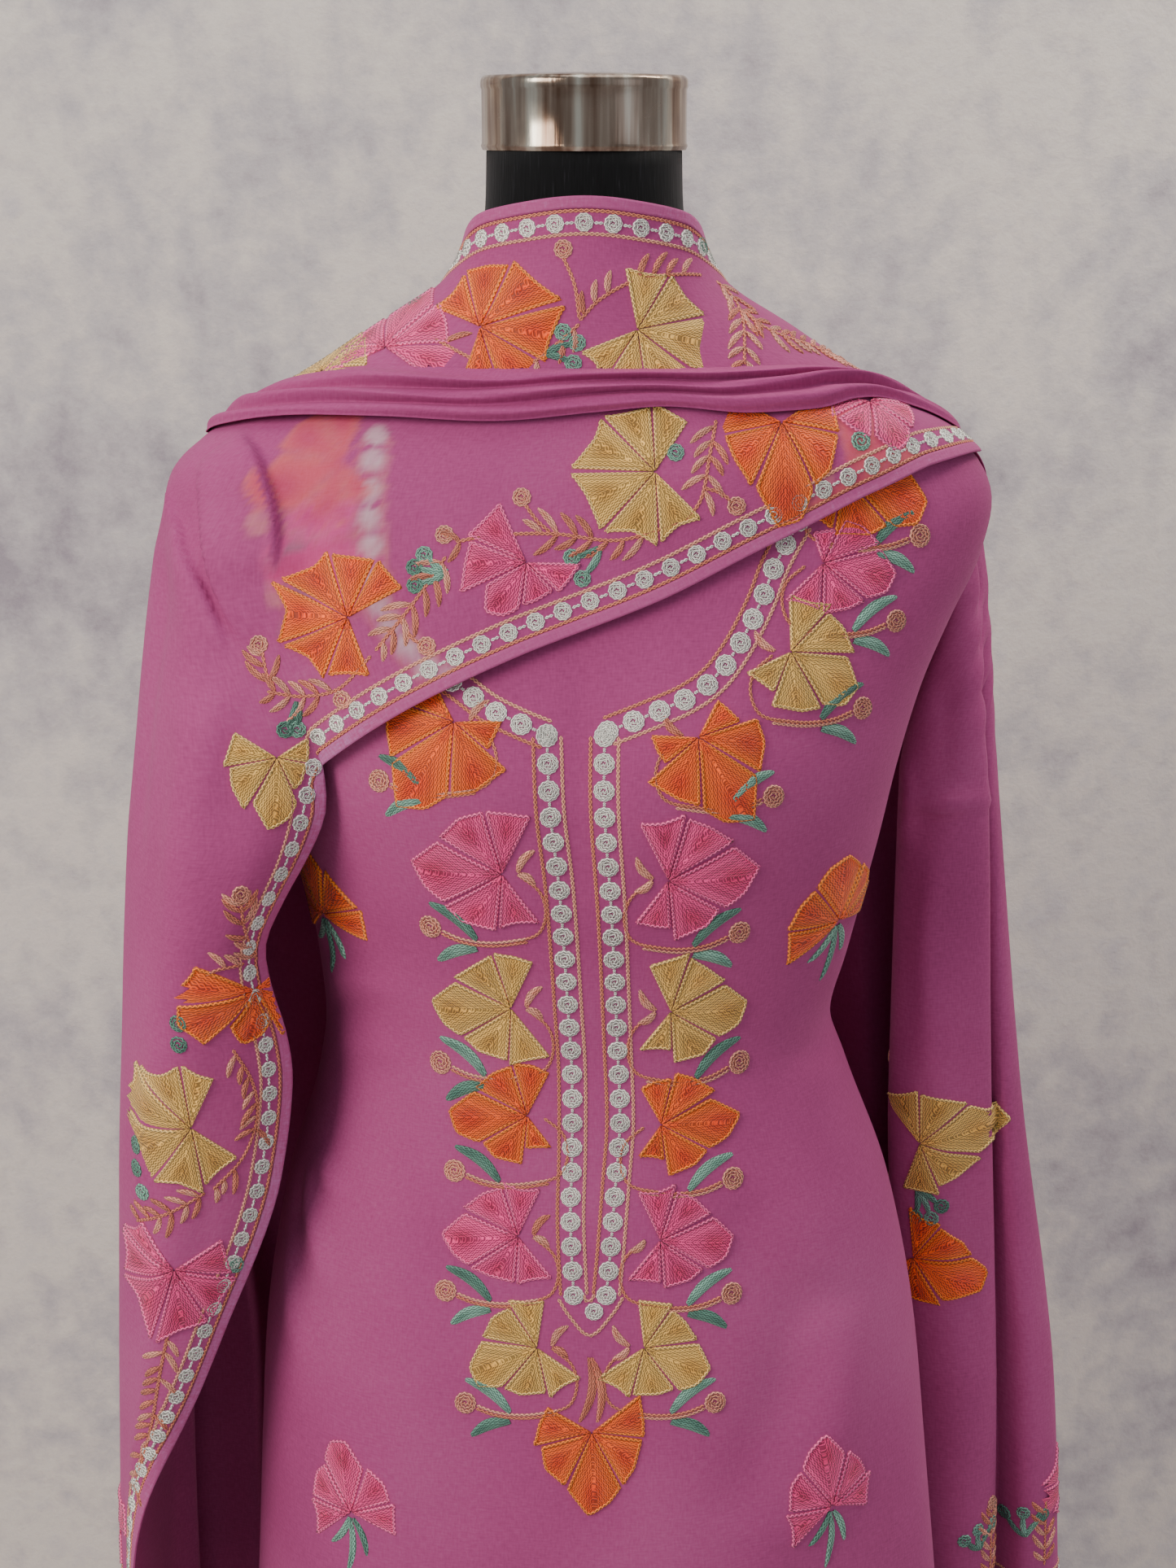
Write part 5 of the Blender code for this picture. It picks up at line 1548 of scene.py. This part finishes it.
def bud_stem(piece, tree, at, mirrored):
    """The stem under a placket flower: from the flower's side round to a bud with two leaves."""
    place = frame_on(tree, at)
    if place is None:
        return
    m = -1 if mirrored else 1

    def flip(points):
        return [(x * m, y) for x, y in points]

    stem(piece, tree, place, flip(((9, -1), (19, -9), (22, -20), (18, -31), (6, -36))), double=False)
    stem(piece, tree, place, flip(((12, -35), (-6, -38), (-22, -37.5), (-34, -34))))
    spiral(piece, tree, place, flip(((-40, -32),))[0], 6.4, DYES["copper"][0])
    for root, tip in (((-15, -36), (-40, -19)), ((-15, -41), (-37, -50))):
        root, tip = flip((root, tip))
        blade(piece, tree, place, root, tip, 6.6, bend=-0.10 * m)
    for root, tip in (((8, 1), (17, 12)), ((8, 0), (17, -6))):
        blade(piece, tree, place, *flip((root, tip)), 4.4, "copper")


def roundels(piece, tree, points, radius=5.6):
    """Silver discs on a line of points, each tied to the next by a short row."""
    frames = [frame_on(tree, p) for p in points]
    for here, after in zip(frames, frames[1:] + [None]):
        spiral(piece, tree, here, (0, 0), radius, DYES["silver"][0], width=1.9)
        if after is not None:
            gap = (after[0] - here[0]).length
            if 0.008 < gap < 0.045:
                a = here[0].lerp(after[0], radius / 1000 / gap)
                b = here[0].lerp(after[0], 1 - radius / 1000 / gap)
                if (b - a).length > 0.002:
                    ribbon(piece, tree, [a, b], DYES["silver"][0], width=0.0019, stitch=0.0022)


print("motifs: flower, leaf, stem, fern, berries, bud, roundel")

# %% [markdown]
# ## The kameez's embroidery
#
# A line of roundels between two copper rows draws the neckline and both sides of the placket,
# and closes under it in a point. The maker's cutter follows the inner row when the neck is cut.
# Flowers stand beside the placket in pairs, with bud stems between them, and small sprigs are
# scattered over the skirt. The same sprigs are repeated on the back and at the hem.

# %% Kameez embroidery: places in the picture
NECK_RIGHT = (
    (982, 640), (965, 670), (950, 700), (935, 740), (910, 790), (880, 832), (845, 858), (800, 878), (747, 899),
)
NECK_LEFT = ((466, 541), (462, 600), (463, 670), (470, 740), (500, 790), (530, 822), (560, 840), (600, 870), (640, 890), (672, 903))
PLACKET_RIGHT = ((743, 905), (743, 1000), (752, 1130), (759, 1290), (762, 1380), (757, 1450), (750, 1540), (745, 1592))
PLACKET_LEFT = ((672, 905), (676, 1000), (688, 1100), (698, 1240), (703, 1320), (703, 1420), (701, 1500), (705, 1592))
ROUNDEL_STEP = 0.0138
LINE_OFF = 0.0072  # the copper rows on either side of the roundels
LEFT_FLOWERS = (
    # centre, axis, dye, size; the first two lie under the dupatta and show through it
    ((428, 572), 196, "orange", 33),
    ((435, 667), 198, "pink", 32),
    ((558, 887), 238, "orange", 35),
    ((617, 1074), 180, "pink", 32),
    ((628, 1239), 182, "yellow", 29),
    ((648, 1371), 182, "orange", 28),
    ((637, 1519), 184, "pink", 28),
    ((660, 1656), 200, "yellow", 27),
)
RIGHT_FLOWERS = (
    ((1035, 583), -20, "orange", 32),
    ((1011, 692), -12, "pink", 27),
    ((971, 801), -32, "yellow", 29),
    ((858, 906), -58, "orange", 34),
    ((821, 1082), 0, "pink", 32),
    ((824, 1243), -2, "yellow", 29),
    ((812, 1382), 0, "orange", 28),
    ((811, 1524), -4, "pink", 28),
    ((791, 1656), -22, "yellow", 27),
)
POINT_FLOWER = ((727, 1760), 270, "orange", 30)
SPRIGS = (((432, 1858), "pink"), ((1022, 1850), "pink"), ((1030, 1130), "orange"), ((398, 1122), "orange"))


def evenly(path, step):
    """Points that far apart along a path."""
    path = np.asarray([list(p) for p in path], float)
    path = finer(path, 10) if len(path) > 2 else path
    run = np.concatenate([[0], np.cumsum(np.linalg.norm(np.diff(path, axis=0), axis=1))])
    at = np.linspace(0, run[-1], max(2, int(round(run[-1] / step))) + 1)
    return np.stack([np.interp(at, run, path[:, k]) for k in range(3)], 1)


def beside(tree, path, off):
    """A path moved sideways on the cloth; plus is to the right of its way, seen from outside."""
    path = np.asarray(path, float)
    out = np.array([list(tree.find_nearest(Vector(p))[1]) for p in path])
    side = unit(np.cross(np.gradient(path, axis=0), out))
    return np.array([list(tree.find_nearest(Vector(p))[0]) for p in path + side * off])


def sprig(piece, tree, at, dye, up=(0, 0, 1), size=25):
    """A single flower on two short green stems, as scattered over the skirt."""
    flower(piece, tree, at, 98, dye, size=size, squeeze=0.98, up=up)
    place = frame_on(tree, at, up)
    if place is None:
        return
    for tip, wide in (((-2, -34), 4.0), ((-12, -20), 4.0), ((9, -22), 4.0)):
        blade(piece, tree, place, (-1 if tip[0] < 0 else 1, -3), tip, wide, bend=0.08)


kameez_tree = tree_of(kameez_front)
NAME = "kameez_front_embroidery"
lines = {name: evenly(seen_on(kameez_tree, path), 0.004) for name, path in (
    ("neck_right", NECK_RIGHT), ("neck_left", NECK_LEFT), ("placket_right", PLACKET_RIGHT), ("placket_left", PLACKET_LEFT)
)}
copper = DYES["copper"]
for name, path in lines.items():
    roundels(NAME, kameez_tree, evenly(path, ROUNDEL_STEP), radius=5.9)
    for off, tone in ((-LINE_OFF, 0), (LINE_OFF, 1)):
        row = beside(kameez_tree, path, off)
        BORDER_ROWS.setdefault(NAME, []).extend([row, path])
        ribbon(NAME, kameez_tree, row, copper[tone], width=0.0024)
point = seen_on(kameez_tree, ((730, 1612),))
roundels(NAME, kameez_tree, point, radius=5.4)
for path in (((716, 1590), (723, 1602), (731, 1590)), ((686, 1596), (700, 1618), (725, 1642), (752, 1616), (766, 1594))):
    ribbon(NAME, kameez_tree, evenly(seen_on(kameez_tree, path), 0.004), copper[0], width=0.0024)
for at, axis, dye, size in LEFT_FLOWERS:
    flower(NAME, kameez_tree, at, axis, dye, size)
for at, axis, dye, size in RIGHT_FLOWERS:
    flower(NAME, kameez_tree, at, axis, dye, size, mirrored=True)
for flowers, mirrored in ((LEFT_FLOWERS, False), (RIGHT_FLOWERS, True)):
    for at, axis, dye, size in flowers:
        bud_stem(NAME, kameez_tree, at, mirrored)
flower(NAME, kameez_tree, POINT_FLOWER[0], POINT_FLOWER[1], POINT_FLOWER[2], POINT_FLOWER[3])
for root, tip in (((722, 1668), (690, 1740)), ((724, 1668), (712, 1748)), ((726, 1668), (734, 1748)), ((728, 1668), (756, 1740))):
    place = frame_on(kameez_tree, root)
    blade(NAME, kameez_tree, place, (0, 0), in_frame(place, frame_on(kameez_tree, tip)[0]), 5.0, "copper")
for at, dye in SPRIGS:
    sprig(NAME, kameez_tree, at, dye)
# below the picture and on the back, sprigs in staggered lines: angle and height
for angle, z, dye in (
    (62, 0.52, "yellow"), (118, 0.52, "yellow"), (90, 0.50, "pink"), (35, 0.47, "orange"), (148, 0.47, "orange"),
):
    sprig(NAME, kameez_tree, tuple(kameez_point(angle, z)), dye)
back_tree = tree_of(kameez_back)
for angle, z, dye in (
    (235, 1.12, "pink"), (305, 1.12, "orange"), (270, 0.98, "yellow"), (228, 0.82, "orange"), (312, 0.82, "pink"),
    (270, 0.72, "orange"), (240, 0.56, "yellow"), (300, 0.56, "yellow"),
    (215, 0.46, "pink"), (270, 0.46, "pink"), (325, 0.46, "orange"),
):
    sprig("kameez_back_embroidery", back_tree, tuple(kameez_point(angle, z)), dye)
print("kameez rows sewn:", len(SEWN[NAME]), "front,", len(SEWN["kameez_back_embroidery"]), "back")

# %% [markdown]
# ## The dupatta's borders
#
# Both long sides and both ends carry the same border. From the edge inward: a turned hem of
# 6 mm, which looks paler because the cloth is double there, a copper row, roundels, a second
# copper row, and then the vine with its flowers. The turned hem is its own strip of cloth.

# %% Borders along an edge
HEM_WIDTH, LINE_ONE, ROUNDELS_IN, LINE_TWO = 0.0062, 0.0074, 0.0132, 0.0190
GEORGETTE_DOUBLE = georgette("georgette_mauve_double_at_the_hem", MAUVE, MAUVE_PALE, "#C07AAE")


def inward_of(tree, edge, inside):
    """The way from an edge into its cloth, along the cloth, at every point of the edge."""
    out = np.array([list(tree.find_nearest(Vector(p))[1]) for p in edge])
    way = unit(np.cross(np.gradient(edge, axis=0), out))
    lead = np.asarray(inside) - edge
    sign = np.sign((way * lead).sum(1))
    return way * np.where(sign == 0, 1, sign)[:, None]


def hem(name, tree, edge, inside):
    """The turned hem: a strip laid on the edge, a little proud of the cloth."""
    way = inward_of(tree, edge, inside)
    rows = [edge + way * (HEM_WIDTH * s) for s in np.linspace(0, 1, 6)]
    rows = [[list(tree.find_nearest(Vector(p))[0]) for p in row] for row in rows]
    grid = np.array(rows)
    grid[0] = edge
    outward = np.array([list(tree.find_nearest(Vector(p))[1]) for p in edge])
    if (face_directions(grid)[3] * outward).sum() < 0:
        grid = grid[:, ::-1]
    grid_piece(name, raised(grid, 0.0006), GEORGETTE_DOUBLE, wall=0.0005)
    return way


def lined(piece, tree, edge, inside, start=0.0):
    """Two copper rows and the roundels between them, beside an edge."""
    way = inward_of(tree, edge, inside)

    def row_at(off):
        return np.array([list(tree.find_nearest(Vector(p))[0]) for p in edge + way * off])

    for off, tone in ((LINE_ONE, 1), (LINE_TWO, 0)):
        BORDER_ROWS.setdefault(piece, []).append(row_at(off))
        ribbon(piece, tree, row_at(off), copper[tone], width=0.0024)
    BORDER_ROWS[piece].append(row_at(ROUNDELS_IN))
    roundels(piece, tree, evenly(row_at(ROUNDELS_IN)[::6], 0.0150), radius=5.1)


def is_level(tree, at, up, reach=22.0, allowed=0.007):
    """Whether the cloth round a place is flat enough for a flower; a fold would cut it up."""
    place = frame_on(tree, at, up)
    if place is None:
        return False
    points, fine = laid(tree, place, polar(np.arange(0, 360, 30.0), reach), 0.0)
    off = np.abs((points - np.array(place[0])) @ np.array(place[3]))
    return bool((fine & (off < allowed)).mean() > 0.8)


def vine(piece, tree, edge, inside, dyes, step=0.075, first=0.04, depth=0.062):
    """Flowers, fern sprays and berries in turn, beside an edge."""
    way = inward_of(tree, edge, inside)
    run = np.concatenate([[0], np.cumsum(np.linalg.norm(np.diff(edge, axis=0), axis=1))])
    k, at = 0, first
    while at < run[-1] - 0.03:
        i = int(np.searchsorted(run, at))
        off = depth + 0.012 * (1 if k % 2 else -1)
        spot = edge[i] + way[i] * off
        up = tuple(way[i])
        if is_level(tree, tuple(spot), up):
            axis, fan = (125, SIX_PETALS) if k % 2 else (55, FIVE_PETALS)
            flower(piece, tree, tuple(spot), axis, dyes[k % len(dyes)], size=26, fan=fan, up=up)
        j = min(int(np.searchsorted(run, at + step / 2)), len(edge) - 1)
        root, tip, top = (tuple(tree.find_nearest(Vector(edge[j] + way[j] * off))[0]) for off in (0.026, 0.072, 0.079))
        spray(piece, tree, (root, tip), buds=(top,), up=up)
        j = min(int(np.searchsorted(run, at + step * 0.68)), len(edge) - 1)
        berries(piece, tree, tuple(edge[j] + way[j] * 0.050), (50, 95, 140), up=up)
        k, at = k + 1, at + step


print("border: hem", HEM_WIDTH * 1000, "rows at", LINE_ONE * 1000, LINE_TWO * 1000, "mm")

# %% Borders of the dupatta
trees = {"neck": tree_of(neck), "chest": tree_of(spread, NO_CLOTH), "right": tree_of(right_fall)}
trees["left"] = trees["chest"]
chest_edge, chest_inside = spread[upper, : corner_column + 1], spread[upper - 9, : corner_column + 1]
left_edge, left_inside = spread[upper:, corner_column], spread[upper:, corner_column + 8]
left_back, left_back_inside = spread[:, -1], spread[:, -9]
left_hem, left_hem_inside = spread[-1, corner_column:], spread[-6, corner_column:]
right_back, right_back_inside = right_fall[:, 0], right_fall[:, 8]
right_hem, right_hem_inside = right_fall[-1], right_fall[-6]
neck_edge, neck_inside = neck[0], neck[6]
for name, cloth, edge, inside in (
    ("chest", "chest", chest_edge, chest_inside),
    ("left_edge", "left", left_edge, left_inside),
    ("left_back", "left", left_back, left_back_inside),
    ("left_end", "left", left_hem, left_hem_inside),
    ("right_back", "right", right_back, right_back_inside),
    ("right_end", "right", right_hem, right_hem_inside),
    ("neck", "neck", neck_edge, neck_inside),
):
    edge, inside = np.asarray(edge), np.asarray(inside)
    hem(f"dupatta_{name}_hem", trees[cloth], edge, inside)
    lined(f"dupatta_{cloth}_embroidery", trees[cloth], edge, inside)

# %% Vine of the dupatta: places in the picture
NECK_VINE = {
    "flowers": (
        ((590, 402), 32, "orange", 31, SIX_PETALS),
        ((783, 405), -26, "yellow", 32, SIX_PETALS),
        ((474, 428), 95, "pink", 27, FIVE_PETALS),
        ((946, 378), -20, "pink", 27, FIVE_PETALS),
        ((396, 456), 110, "yellow", 24, FIVE_PETALS),
    ),
    "sprays": (
        (((712, 394), (740, 366), (790, 342), (862, 338)), (1,), ((692, 306),)),
        (((712, 392), (706, 350), (692, 316)), (), ()),
        (((712, 398), (690, 418), (655, 446)), (1, -1), ()),
        (((512, 402), (548, 424), (590, 446)), (1, -1), ()),
        (((880, 345), (905, 372), (915, 448)), (1, -1), ((915, 450),)),
        (((905, 378), (960, 412), (1040, 446)), (1, -1), ()),
    ),
    "berries": (((668, 436), (20, 50, 345)), ((872, 336), (40, 80, 120)), ((528, 378), (160, 200, 240))),
}
CHEST_VINE = {
    "flowers": (
        ((805, 580), 190, "yellow", 34, SIX_PETALS),
        ((647, 691), 232, "pink", 32, FIVE_PETALS),
        ((428, 759), 168, "orange", 32, SIX_PETALS),
        ((960, 519), 266, "orange", 30, FIVE_PETALS),
        ((1068, 494), 270, "pink", 20, FIVE_PETALS),
        ((340, 931), 262, "yellow", 26, FIVE_PETALS),
    ),
    "sprays": (
        (((880, 516), (872, 560), (862, 612), (842, 640)), (1, -1), ()),
        (((866, 600), (886, 606), (900, 618)), (), ((905, 622),)),
        (((835, 642), (760, 664), (680, 656), (605, 658), (560, 666)), (1, -1), ((546, 657),)),
        (((676, 654), (660, 640), (645, 620)), (), ((641, 611),)),
        (((548, 684), (505, 745), (461, 800)), (1, -1), ()),
        (((492, 762), (506, 784), (518, 792)), (), ((524, 794),)),
        (((456, 806), (417, 846), (372, 856), (328, 850)), (1, -1), ((420, 860),)),
        (((332, 846), (326, 822), (322, 800)), (1, -1), ((318, 792),)),
        (((1096, 508), (1130, 500), (1170, 500)), (1, -1), ()),
    ),
    "berries": (
        ((550, 702), (146, 174, 204)),
        ((738, 672), (200, 240, 280)),
        ((842, 518), (180, 215, 250)),
        ((1066, 508), (235, 295)),
        ((364, 862), (250, 272, 294)),
    ),
}
LEFT_VINE = {
    "flowers": (
        ((312, 1216), 262, "orange", 29, FIVE_PETALS),
        ((235, 1386), 196, "yellow", 32, SIX_PETALS),
        ((214, 1560), 262, "pink", 31, SIX_PETALS),
    ),
    "sprays": (
        (((316, 1180), (300, 1140), (296, 1108)), (1, -1), ((296, 1100),)),
        (((300, 1184), (268, 1192), (244, 1204)), (1, -1), ((240, 1206),)),
        (((286, 1290), (310, 1330), (316, 1372), (300, 1420), (262, 1462)), (1, -1), ()),
        (((252, 1466), (205, 1492), (168, 1500)), (1, -1), ()),
        (((206, 1640), (196, 1690), (186, 1750), (166, 1830)), (1, -1), ((214, 1729),)),
    ),
    "berries": (((258, 1280), (150, 185, 215)), ((288, 1520), (240, 275, 310)), ((196, 1440), (150, 190, 230))),
}


def sewn_vine(piece, tree, vine_places):
    for at, axis, dye, size, fan in vine_places["flowers"]:
        flower(piece, tree, at, axis, dye, size, fan=fan)
    for stem_path, sides, buds in vine_places["sprays"]:
        spray(piece, tree, stem_path, sides=sides, buds=buds)
    for at, ways in vine_places["berries"]:
        berries(piece, tree, at, ways)


sewn_vine("dupatta_neck_embroidery", trees["neck"], NECK_VINE)
BORDER_ROWS["dupatta_chest_embroidery"] += BORDER_ROWS["dupatta_left_embroidery"]
sewn_vine("dupatta_chest_embroidery", trees["chest"], CHEST_VINE)
sewn_vine("dupatta_left_embroidery", trees["left"], LEFT_VINE)
RIGHT_PIECE, right_tree = "dupatta_right_embroidery", trees["right"]
flower(RIGHT_PIECE, right_tree, (1130, 1405), 10, "yellow", 30)
berries(RIGHT_PIECE, right_tree, (1126, 1462), (300, 330, 270))
flower(RIGHT_PIECE, right_tree, (1122, 1545), -30, "orange", 26)
dyes = ("pink", "orange", "yellow")
below = int(0.62 * len(left_edge))
vine("dupatta_left_embroidery", trees["left"], left_edge[below:], left_inside[below:], dyes, first=0.03)
vine("dupatta_left_embroidery", trees["left"], left_back[40:], left_back_inside[40:], dyes, step=0.085)
vine("dupatta_left_embroidery", trees["left"], left_hem[22:-22], left_hem_inside[22:-22], dyes, first=0.03, step=0.085)
vine(RIGHT_PIECE, right_tree, right_back[45:], right_back_inside[45:], dyes, step=0.085)
vine(RIGHT_PIECE, right_tree, right_hem[8:-22], right_hem_inside[8:-22], ("pink", "orange", "yellow"), first=0.02, step=0.072)
print("dupatta rows sewn:", {name: len(rows) for name, rows in SEWN.items() if name.startswith("dupatta")})


# %% Embroidered pieces
def sewn_piece(name, parts):
    """All patches and rows of one garment part as one mesh."""
    starts = np.cumsum([0] + [len(part[0]) for part in parts[:-1]])
    points = np.concatenate([part[0] for part in parts])
    uv = np.concatenate([part[1] for part in parts])
    colours = np.concatenate([part[2] for part in parts])
    faces = np.concatenate([part[3] + start for part, start in zip(parts, starts)])
    data = bpy.data.meshes.new(name)
    data.vertices.add(len(points))
    data.vertices.foreach_set("co", points.ravel())
    data.loops.add(faces.size)
    data.loops.foreach_set("vertex_index", faces.ravel().astype(np.int32))
    data.polygons.add(len(faces))
    data.polygons.foreach_set("loop_start", np.arange(0, faces.size, 4, dtype=np.int32))
    data.update(calc_edges=True)
    data.uv_layers.new(name="stitches").data.foreach_set("uv", uv[faces.ravel()].ravel())
    dye = data.color_attributes.new("thread", "FLOAT_COLOR", "POINT")
    dye.data.foreach_set("color", np.column_stack([colours, np.ones(len(colours))]).ravel())
    data.shade_smooth()
    data.materials.append(THREAD)
    piece = bpy.data.objects.new(name, data)
    bpy.context.scene.collection.objects.link(piece)
    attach(piece, "root")
    print(name, len(faces) * 2, "triangles")
    return piece


embroidery = {name: sewn_piece(name, parts) for name, parts in SEWN.items()}
print("embroidery triangles in all:", sum(len(p.data.polygons) for p in embroidery.values()) * 2)

# %% [markdown]
# Georgette is sheer. Where the dupatta lies on the kameez, the flowers under it show through as
# soft shapes. So every knot of the dupatta looks straight into the cloth: if stitches lie within
# 14 mm under it, it takes their dye, and the cloth's material mixes a third of that in. Nine
# looks side by side make the shapes soft, as the twisted yarns scatter what shines through.

# %% Stitches that show through the dupatta
sewn = embroidery["kameez_front_embroidery"].data
spots = [v.co.copy() for v in sewn.vertices]
stitches_under = BVHTree.FromPolygons(spots, [tuple(p.vertices) for p in sewn.polygons])
dye_of = sewn.color_attributes["thread"].data
cloth = DUPATTA["dupatta_left_cloth"].data
seen = cloth.color_attributes.new("shows_through", "FLOAT_COLOR", "POINT")
LOOK_THROUGH, LOOKS_APART = 0.014, 0.0016  # metres
NEAR_PLACES = [(dx, dz) for dx in (-1, 0, 1) for dz in (-1, 0, 1)]
shown = 0
for vertex in cloth.vertices:
    dye, share = np.zeros(3), 0
    if vertex.co.z > BORDER[-1][1] and vertex.co.y < 0:
        for dx, dz in NEAR_PLACES:
            start = vertex.co + Vector((dx, 0, dz)) * LOOKS_APART
            hit, _, face, _ = stitches_under.ray_cast(start, -vertex.normal, LOOK_THROUGH)
            if hit is not None:
                dye, share = dye + np.array(dye_of[sewn.polygons[face].vertices[0]].color)[:3], share + 1
    shown += share > 0
    seen.data[vertex.index].color = (*(dye / max(share, 1)), share / len(NEAR_PLACES))
print("knots of the dupatta that show stitches:", shown)

# %% [markdown]
# ## Room and light
#
# The suit stands on a pale floor before a pale wall. One large soft light comes from the upper
# left, as from a window, a weaker one fills from the right, and the pale room does the rest.

# %% Floor, wall and lights
ROOM, tree, shader = finish_named("plaster_painted_pale_grey")
place = add(tree, "ShaderNodeTexCoord").outputs["Object"]
# a sponged plaster: cloudy patches of cool and warm grey, 20 cm wide, over a grain of 1 cm
clouds = add(tree, "ShaderNodeTexNoise", {"Scale": 4.2, "Detail": 5.0, "Roughness": 0.62}, Vector=place)
dabs = add(tree, "ShaderNodeTexNoise", {"Scale": 34.0, "Detail": 6.0, "Roughness": 0.7}, Vector=place)
mixed = add(tree, "ShaderNodeMath", {"operation": "MULTIPLY_ADD", 1: 0.42}, i0=dabs.outputs["Fac"])
tree.links.new(clouds.outputs["Fac"], mixed.inputs[2])
plaster = ramp(tree, mixed.outputs[0], ((0.52, "#A39AA2"), (0.66, "#C6BFC0"), (0.80, "#E3DAD1"), (0.92, "#CFC8C8")))
tree.links.new(plaster, shader.inputs["Base Color"])
grain = add(tree, "ShaderNodeBump", {"Strength": 0.5, "Distance": 0.004}, Height=dabs.outputs["Fac"])
tree.links.new(grain.outputs[0], shader.inputs["Normal"])
shader.inputs["Roughness"].default_value = 0.9
mesh = bmesh.new()
bmesh.ops.create_grid(mesh, x_segments=1, y_segments=1, size=3.0)
wall_faces = bmesh.ops.extrude_edge_only(mesh, edges=[e for e in mesh.edges if all(v.co.y > 2.9 for v in e.verts)])
bmesh.ops.translate(mesh, vec=(0, 0, 4.0), verts=[g for g in wall_faces["geom"] if isinstance(g, bmesh.types.BMVert)])
bmesh.ops.translate(mesh, vec=(0, -2.35, 0), verts=mesh.verts)
bmesh.ops.recalc_face_normals(mesh, faces=mesh.faces)
room_data = bpy.data.meshes.new("room")
mesh.to_mesh(room_data)
mesh.free()
room_data.materials.append(ROOM)
room = bpy.data.objects.new("room", room_data)
bpy.context.scene.collection.objects.link(room)


def soft_light(name, place, aim, size, power, colour):
    lamp = bpy.data.lights.new(name, "AREA")
    lamp.shape, lamp.size, lamp.size_y = "RECTANGLE", *size
    lamp.energy, lamp.color = power, linear(colour)[:3]
    thing = bpy.data.objects.new(name, lamp)
    thing.location = place
    thing.rotation_euler = (Vector(aim) - Vector(place)).to_track_quat("-Z", "Y").to_euler()
    bpy.context.scene.collection.objects.link(thing)


soft_light("window", (-1.7, -1.6, 2.3), (0, 0, 1.0), (1.2, 1.4), 52, "#FFF8EE")
soft_light("fill", (1.9, -1.6, 1.5), (0, 0, 1.0), (1.2, 1.6), 3, "#EEF2FF")
soft_light("wall", (1.1, 0.30, 2.6), (1.0, 0.65, 1.3), (0.8, 0.3), 16, "#FFF4E6")
soft_light("top", (0.2, -0.3, 3.2), (0, 0, 1.0), (1.6, 1.6), 14, "#FFFFFF")
world = bpy.data.worlds.new("room_light")
bpy.context.scene.world = world
world.use_nodes = True
world.node_tree.nodes["Background"].inputs["Color"].default_value = linear("#DCE0E6")
world.node_tree.nodes["Background"].inputs["Strength"].default_value = 0.62
print("lights: window, fill, wall, top")
